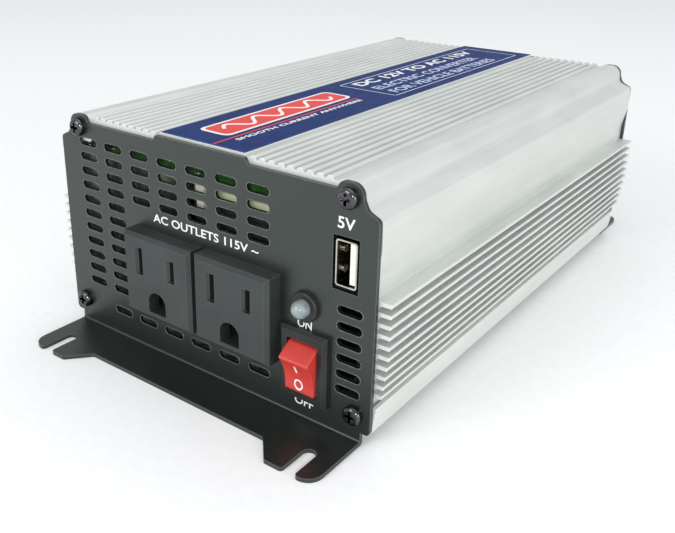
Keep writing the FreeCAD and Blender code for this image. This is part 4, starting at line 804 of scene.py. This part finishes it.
def slot_rims(across, up, columns, rows, row_step, face):
    """The rolled lips round a grid of punched slots on a panel face."""
    tree = Tree("slot_rims")
    corner = tree.number("Corner", (across * MM, face * MM, up * MM), "NodeSocketVector")
    slot_length = tree.number("Slot Length", SLOT_LENGTH * MM)
    slot_width = tree.number("Slot Width", SLOT_WIDTH * MM)
    lip_radius = tree.number("Lip Radius", LIP_RADIUS * MM)
    column_count = tree.number("Columns", columns, "NodeSocketInt")
    row_count = tree.number("Rows", rows, "NodeSocketInt")
    pitch = tree.number("Column Step", (COLUMN_STEP * MM, 0.0, 0.0), "NodeSocketVector")
    drop = tree.number("Row Step", (0.0, 0.0, -row_step * MM), "NodeSocketVector")
    outline = tree.node("GeometryNodeCurvePrimitiveQuadrilateral",
                        {"Width": slot_length, "Height": slot_width})
    half = tree.node("ShaderNodeMath", {0: slot_width, 1: ROUND_END}, operation="MULTIPLY")
    rounded = tree.node("GeometryNodeFilletCurve", {"Curve": outline.outputs["Curve"], "Count": END_STEPS,
                                                    "Radius": half.outputs[0]}, mode="POLY")
    upright = tree.node("GeometryNodeTransform", {"Geometry": rounded.outputs["Curve"],
                                                  "Rotation": (math.pi / 2, 0.0, 0.0)})
    section = tree.node("GeometryNodeCurvePrimitiveCircle", {"Radius": lip_radius, "Resolution": LIP_STEPS})
    lips = tree.node("GeometryNodeCurveToMesh", {"Curve": upright.outputs["Geometry"],
                                                 "Profile Curve": section.outputs["Curve"]})
    line = tree.node("GeometryNodeMeshLine",
                     {"Count": column_count, "Start Location": corner, "Offset": pitch})
    row_line = tree.node("GeometryNodeMeshLine", {"Count": row_count, "Offset": drop})
    row_of_lips = tree.node("GeometryNodeInstanceOnPoints", {"Points": row_line.outputs["Mesh"],
                                                             "Instance": lips.outputs["Mesh"]})
    grid = tree.node("GeometryNodeInstanceOnPoints", {"Points": line.outputs["Mesh"],
                                                      "Instance": row_of_lips.outputs["Instances"]})
    smooth = tree.node("GeometryNodeSetShadeSmooth", {"Geometry": grid.outputs["Instances"]})
    return tree.finish(smooth.outputs["Geometry"], SLOT_LIP)


# The main board's solder points: the field's corners and level, and how many there are.
FIELD_LOW, FIELD_HIGH, FIELD_LEVEL = (-52.0, -88.0), (52.0, 70.0), 59.6
POINT_COUNT, POINT_SEED, POINT_RADIUS, POINT_HEIGHT = 420, 7, 1.0, 0.55
SMALLEST_POINT, LARGEST_POINT = 0.6, 1.2
# The Random Value node's sockets for a plain number.
RANDOM_LOW, RANDOM_HIGH, RANDOM_OUT = 2, 3, 1


def solder_field():
    """Solder points scattered over the main board's top."""
    across, along = FIELD_HIGH[0] - FIELD_LOW[0], FIELD_HIGH[1] - FIELD_LOW[1]
    tree = Tree("solder_field")
    width = tree.number("Field Width", across * MM)
    depth = tree.number("Field Depth", along * MM)
    seed = tree.number("Seed", POINT_SEED, "NodeSocketInt")
    density = tree.number("Density", POINT_COUNT / (across * along) / MM**2)
    radius = tree.number("Point Radius", POINT_RADIUS * MM)
    field = tree.node("GeometryNodeMeshGrid",
                      {"Size X": width, "Size Y": depth, "Vertices X": 2, "Vertices Y": 2})
    spots = tree.node("GeometryNodeDistributePointsOnFaces",
                      {"Mesh": field.outputs["Mesh"], "Density": density, "Seed": seed})
    dome = tree.node("GeometryNodeMeshIcoSphere", {"Radius": radius, "Subdivisions": 2})
    flat = tree.node("GeometryNodeTransform",
                     {"Geometry": dome.outputs["Mesh"], "Scale": (1.0, 1.0, POINT_HEIGHT)})
    size = tree.node("FunctionNodeRandomValue",
                     {"Seed": seed, RANDOM_LOW: SMALLEST_POINT, RANDOM_HIGH: LARGEST_POINT})
    placed = tree.node("GeometryNodeInstanceOnPoints", {"Points": spots.outputs["Points"],
                                                        "Instance": flat.outputs["Geometry"],
                                                        "Scale": size.outputs[RANDOM_OUT]})
    middle_across = (FIELD_LOW[0] + FIELD_HIGH[0]) * 0.5
    middle_along = (FIELD_LOW[1] + FIELD_HIGH[1]) * 0.5
    middle = (middle_across * MM, middle_along * MM, FIELD_LEVEL * MM)
    moved = tree.node("GeometryNodeTransform",
                      {"Geometry": placed.outputs["Instances"], "Translation": middle})
    return tree.finish(moved.outputs["Geometry"], SOLDER)


def make_slot_rims():
    """The lips of the front and rear panels' slots."""
    for name, grids, face in (("front_slot_rims", FRONT_SLOTS, FRONT), ("rear_slot_rims", REAR_SLOTS, REAR)):
        rims = joined([slot_rims(*grid, face) for grid in grids])
        piece_from(name, rims, "case", SLOT_LIP)


def make_board_details():
    """The main board's solder points."""
    piece_from("solder_points", joined([solder_field()]), "case", SOLDER)


make_label_print()
make_panel_legends()
make_rear_legends()
make_rocker_marks()
make_slot_rims()
make_board_details()


# ---------------------------------------------------------------- floor

# The radii of the floor's rings in metres.
FLOOR_RINGS = (0.2, 1.0, 3.0, 8.0, 20.0)
FLOOR_SIDES = 40


def make_floor():
    """A plain pale studio floor."""
    shape = bmesh.new()
    rows = []
    for number in range(FLOOR_SIDES + 1):
        angle = math.tau * number / FLOOR_SIDES
        rows.append([shape.verts.new((reach * math.cos(angle), reach * math.sin(angle), 0.0))
                     for reach in FLOOR_RINGS])
    centre = shape.verts.new((0.0, 0.0, 0.0))
    for first, second in zip(rows, rows[1:]):
        shape.faces.new((centre, first[0], second[0]))
        for ring in range(len(FLOOR_RINGS) - 1):
            shape.faces.new((first[ring], first[ring + 1], second[ring + 1], second[ring]))
    bmesh.ops.remove_doubles(shape, verts=shape.verts, dist=MERGE_DISTANCE)
    mesh = bpy.data.meshes.new("floor")
    shape.to_mesh(mesh)
    shape.free()
    floor = bpy.data.objects.new("floor", mesh)
    bpy.context.scene.collection.objects.link(floor)
    paper = Finish("floor_paper", roughness=0.8)
    paper.colour(paper.tint(paper.grain(size=3.0), low=(0.86, 0.86, 0.86), high=(0.89, 0.89, 0.89)))
    mesh.materials.append(paper.material)


make_floor()
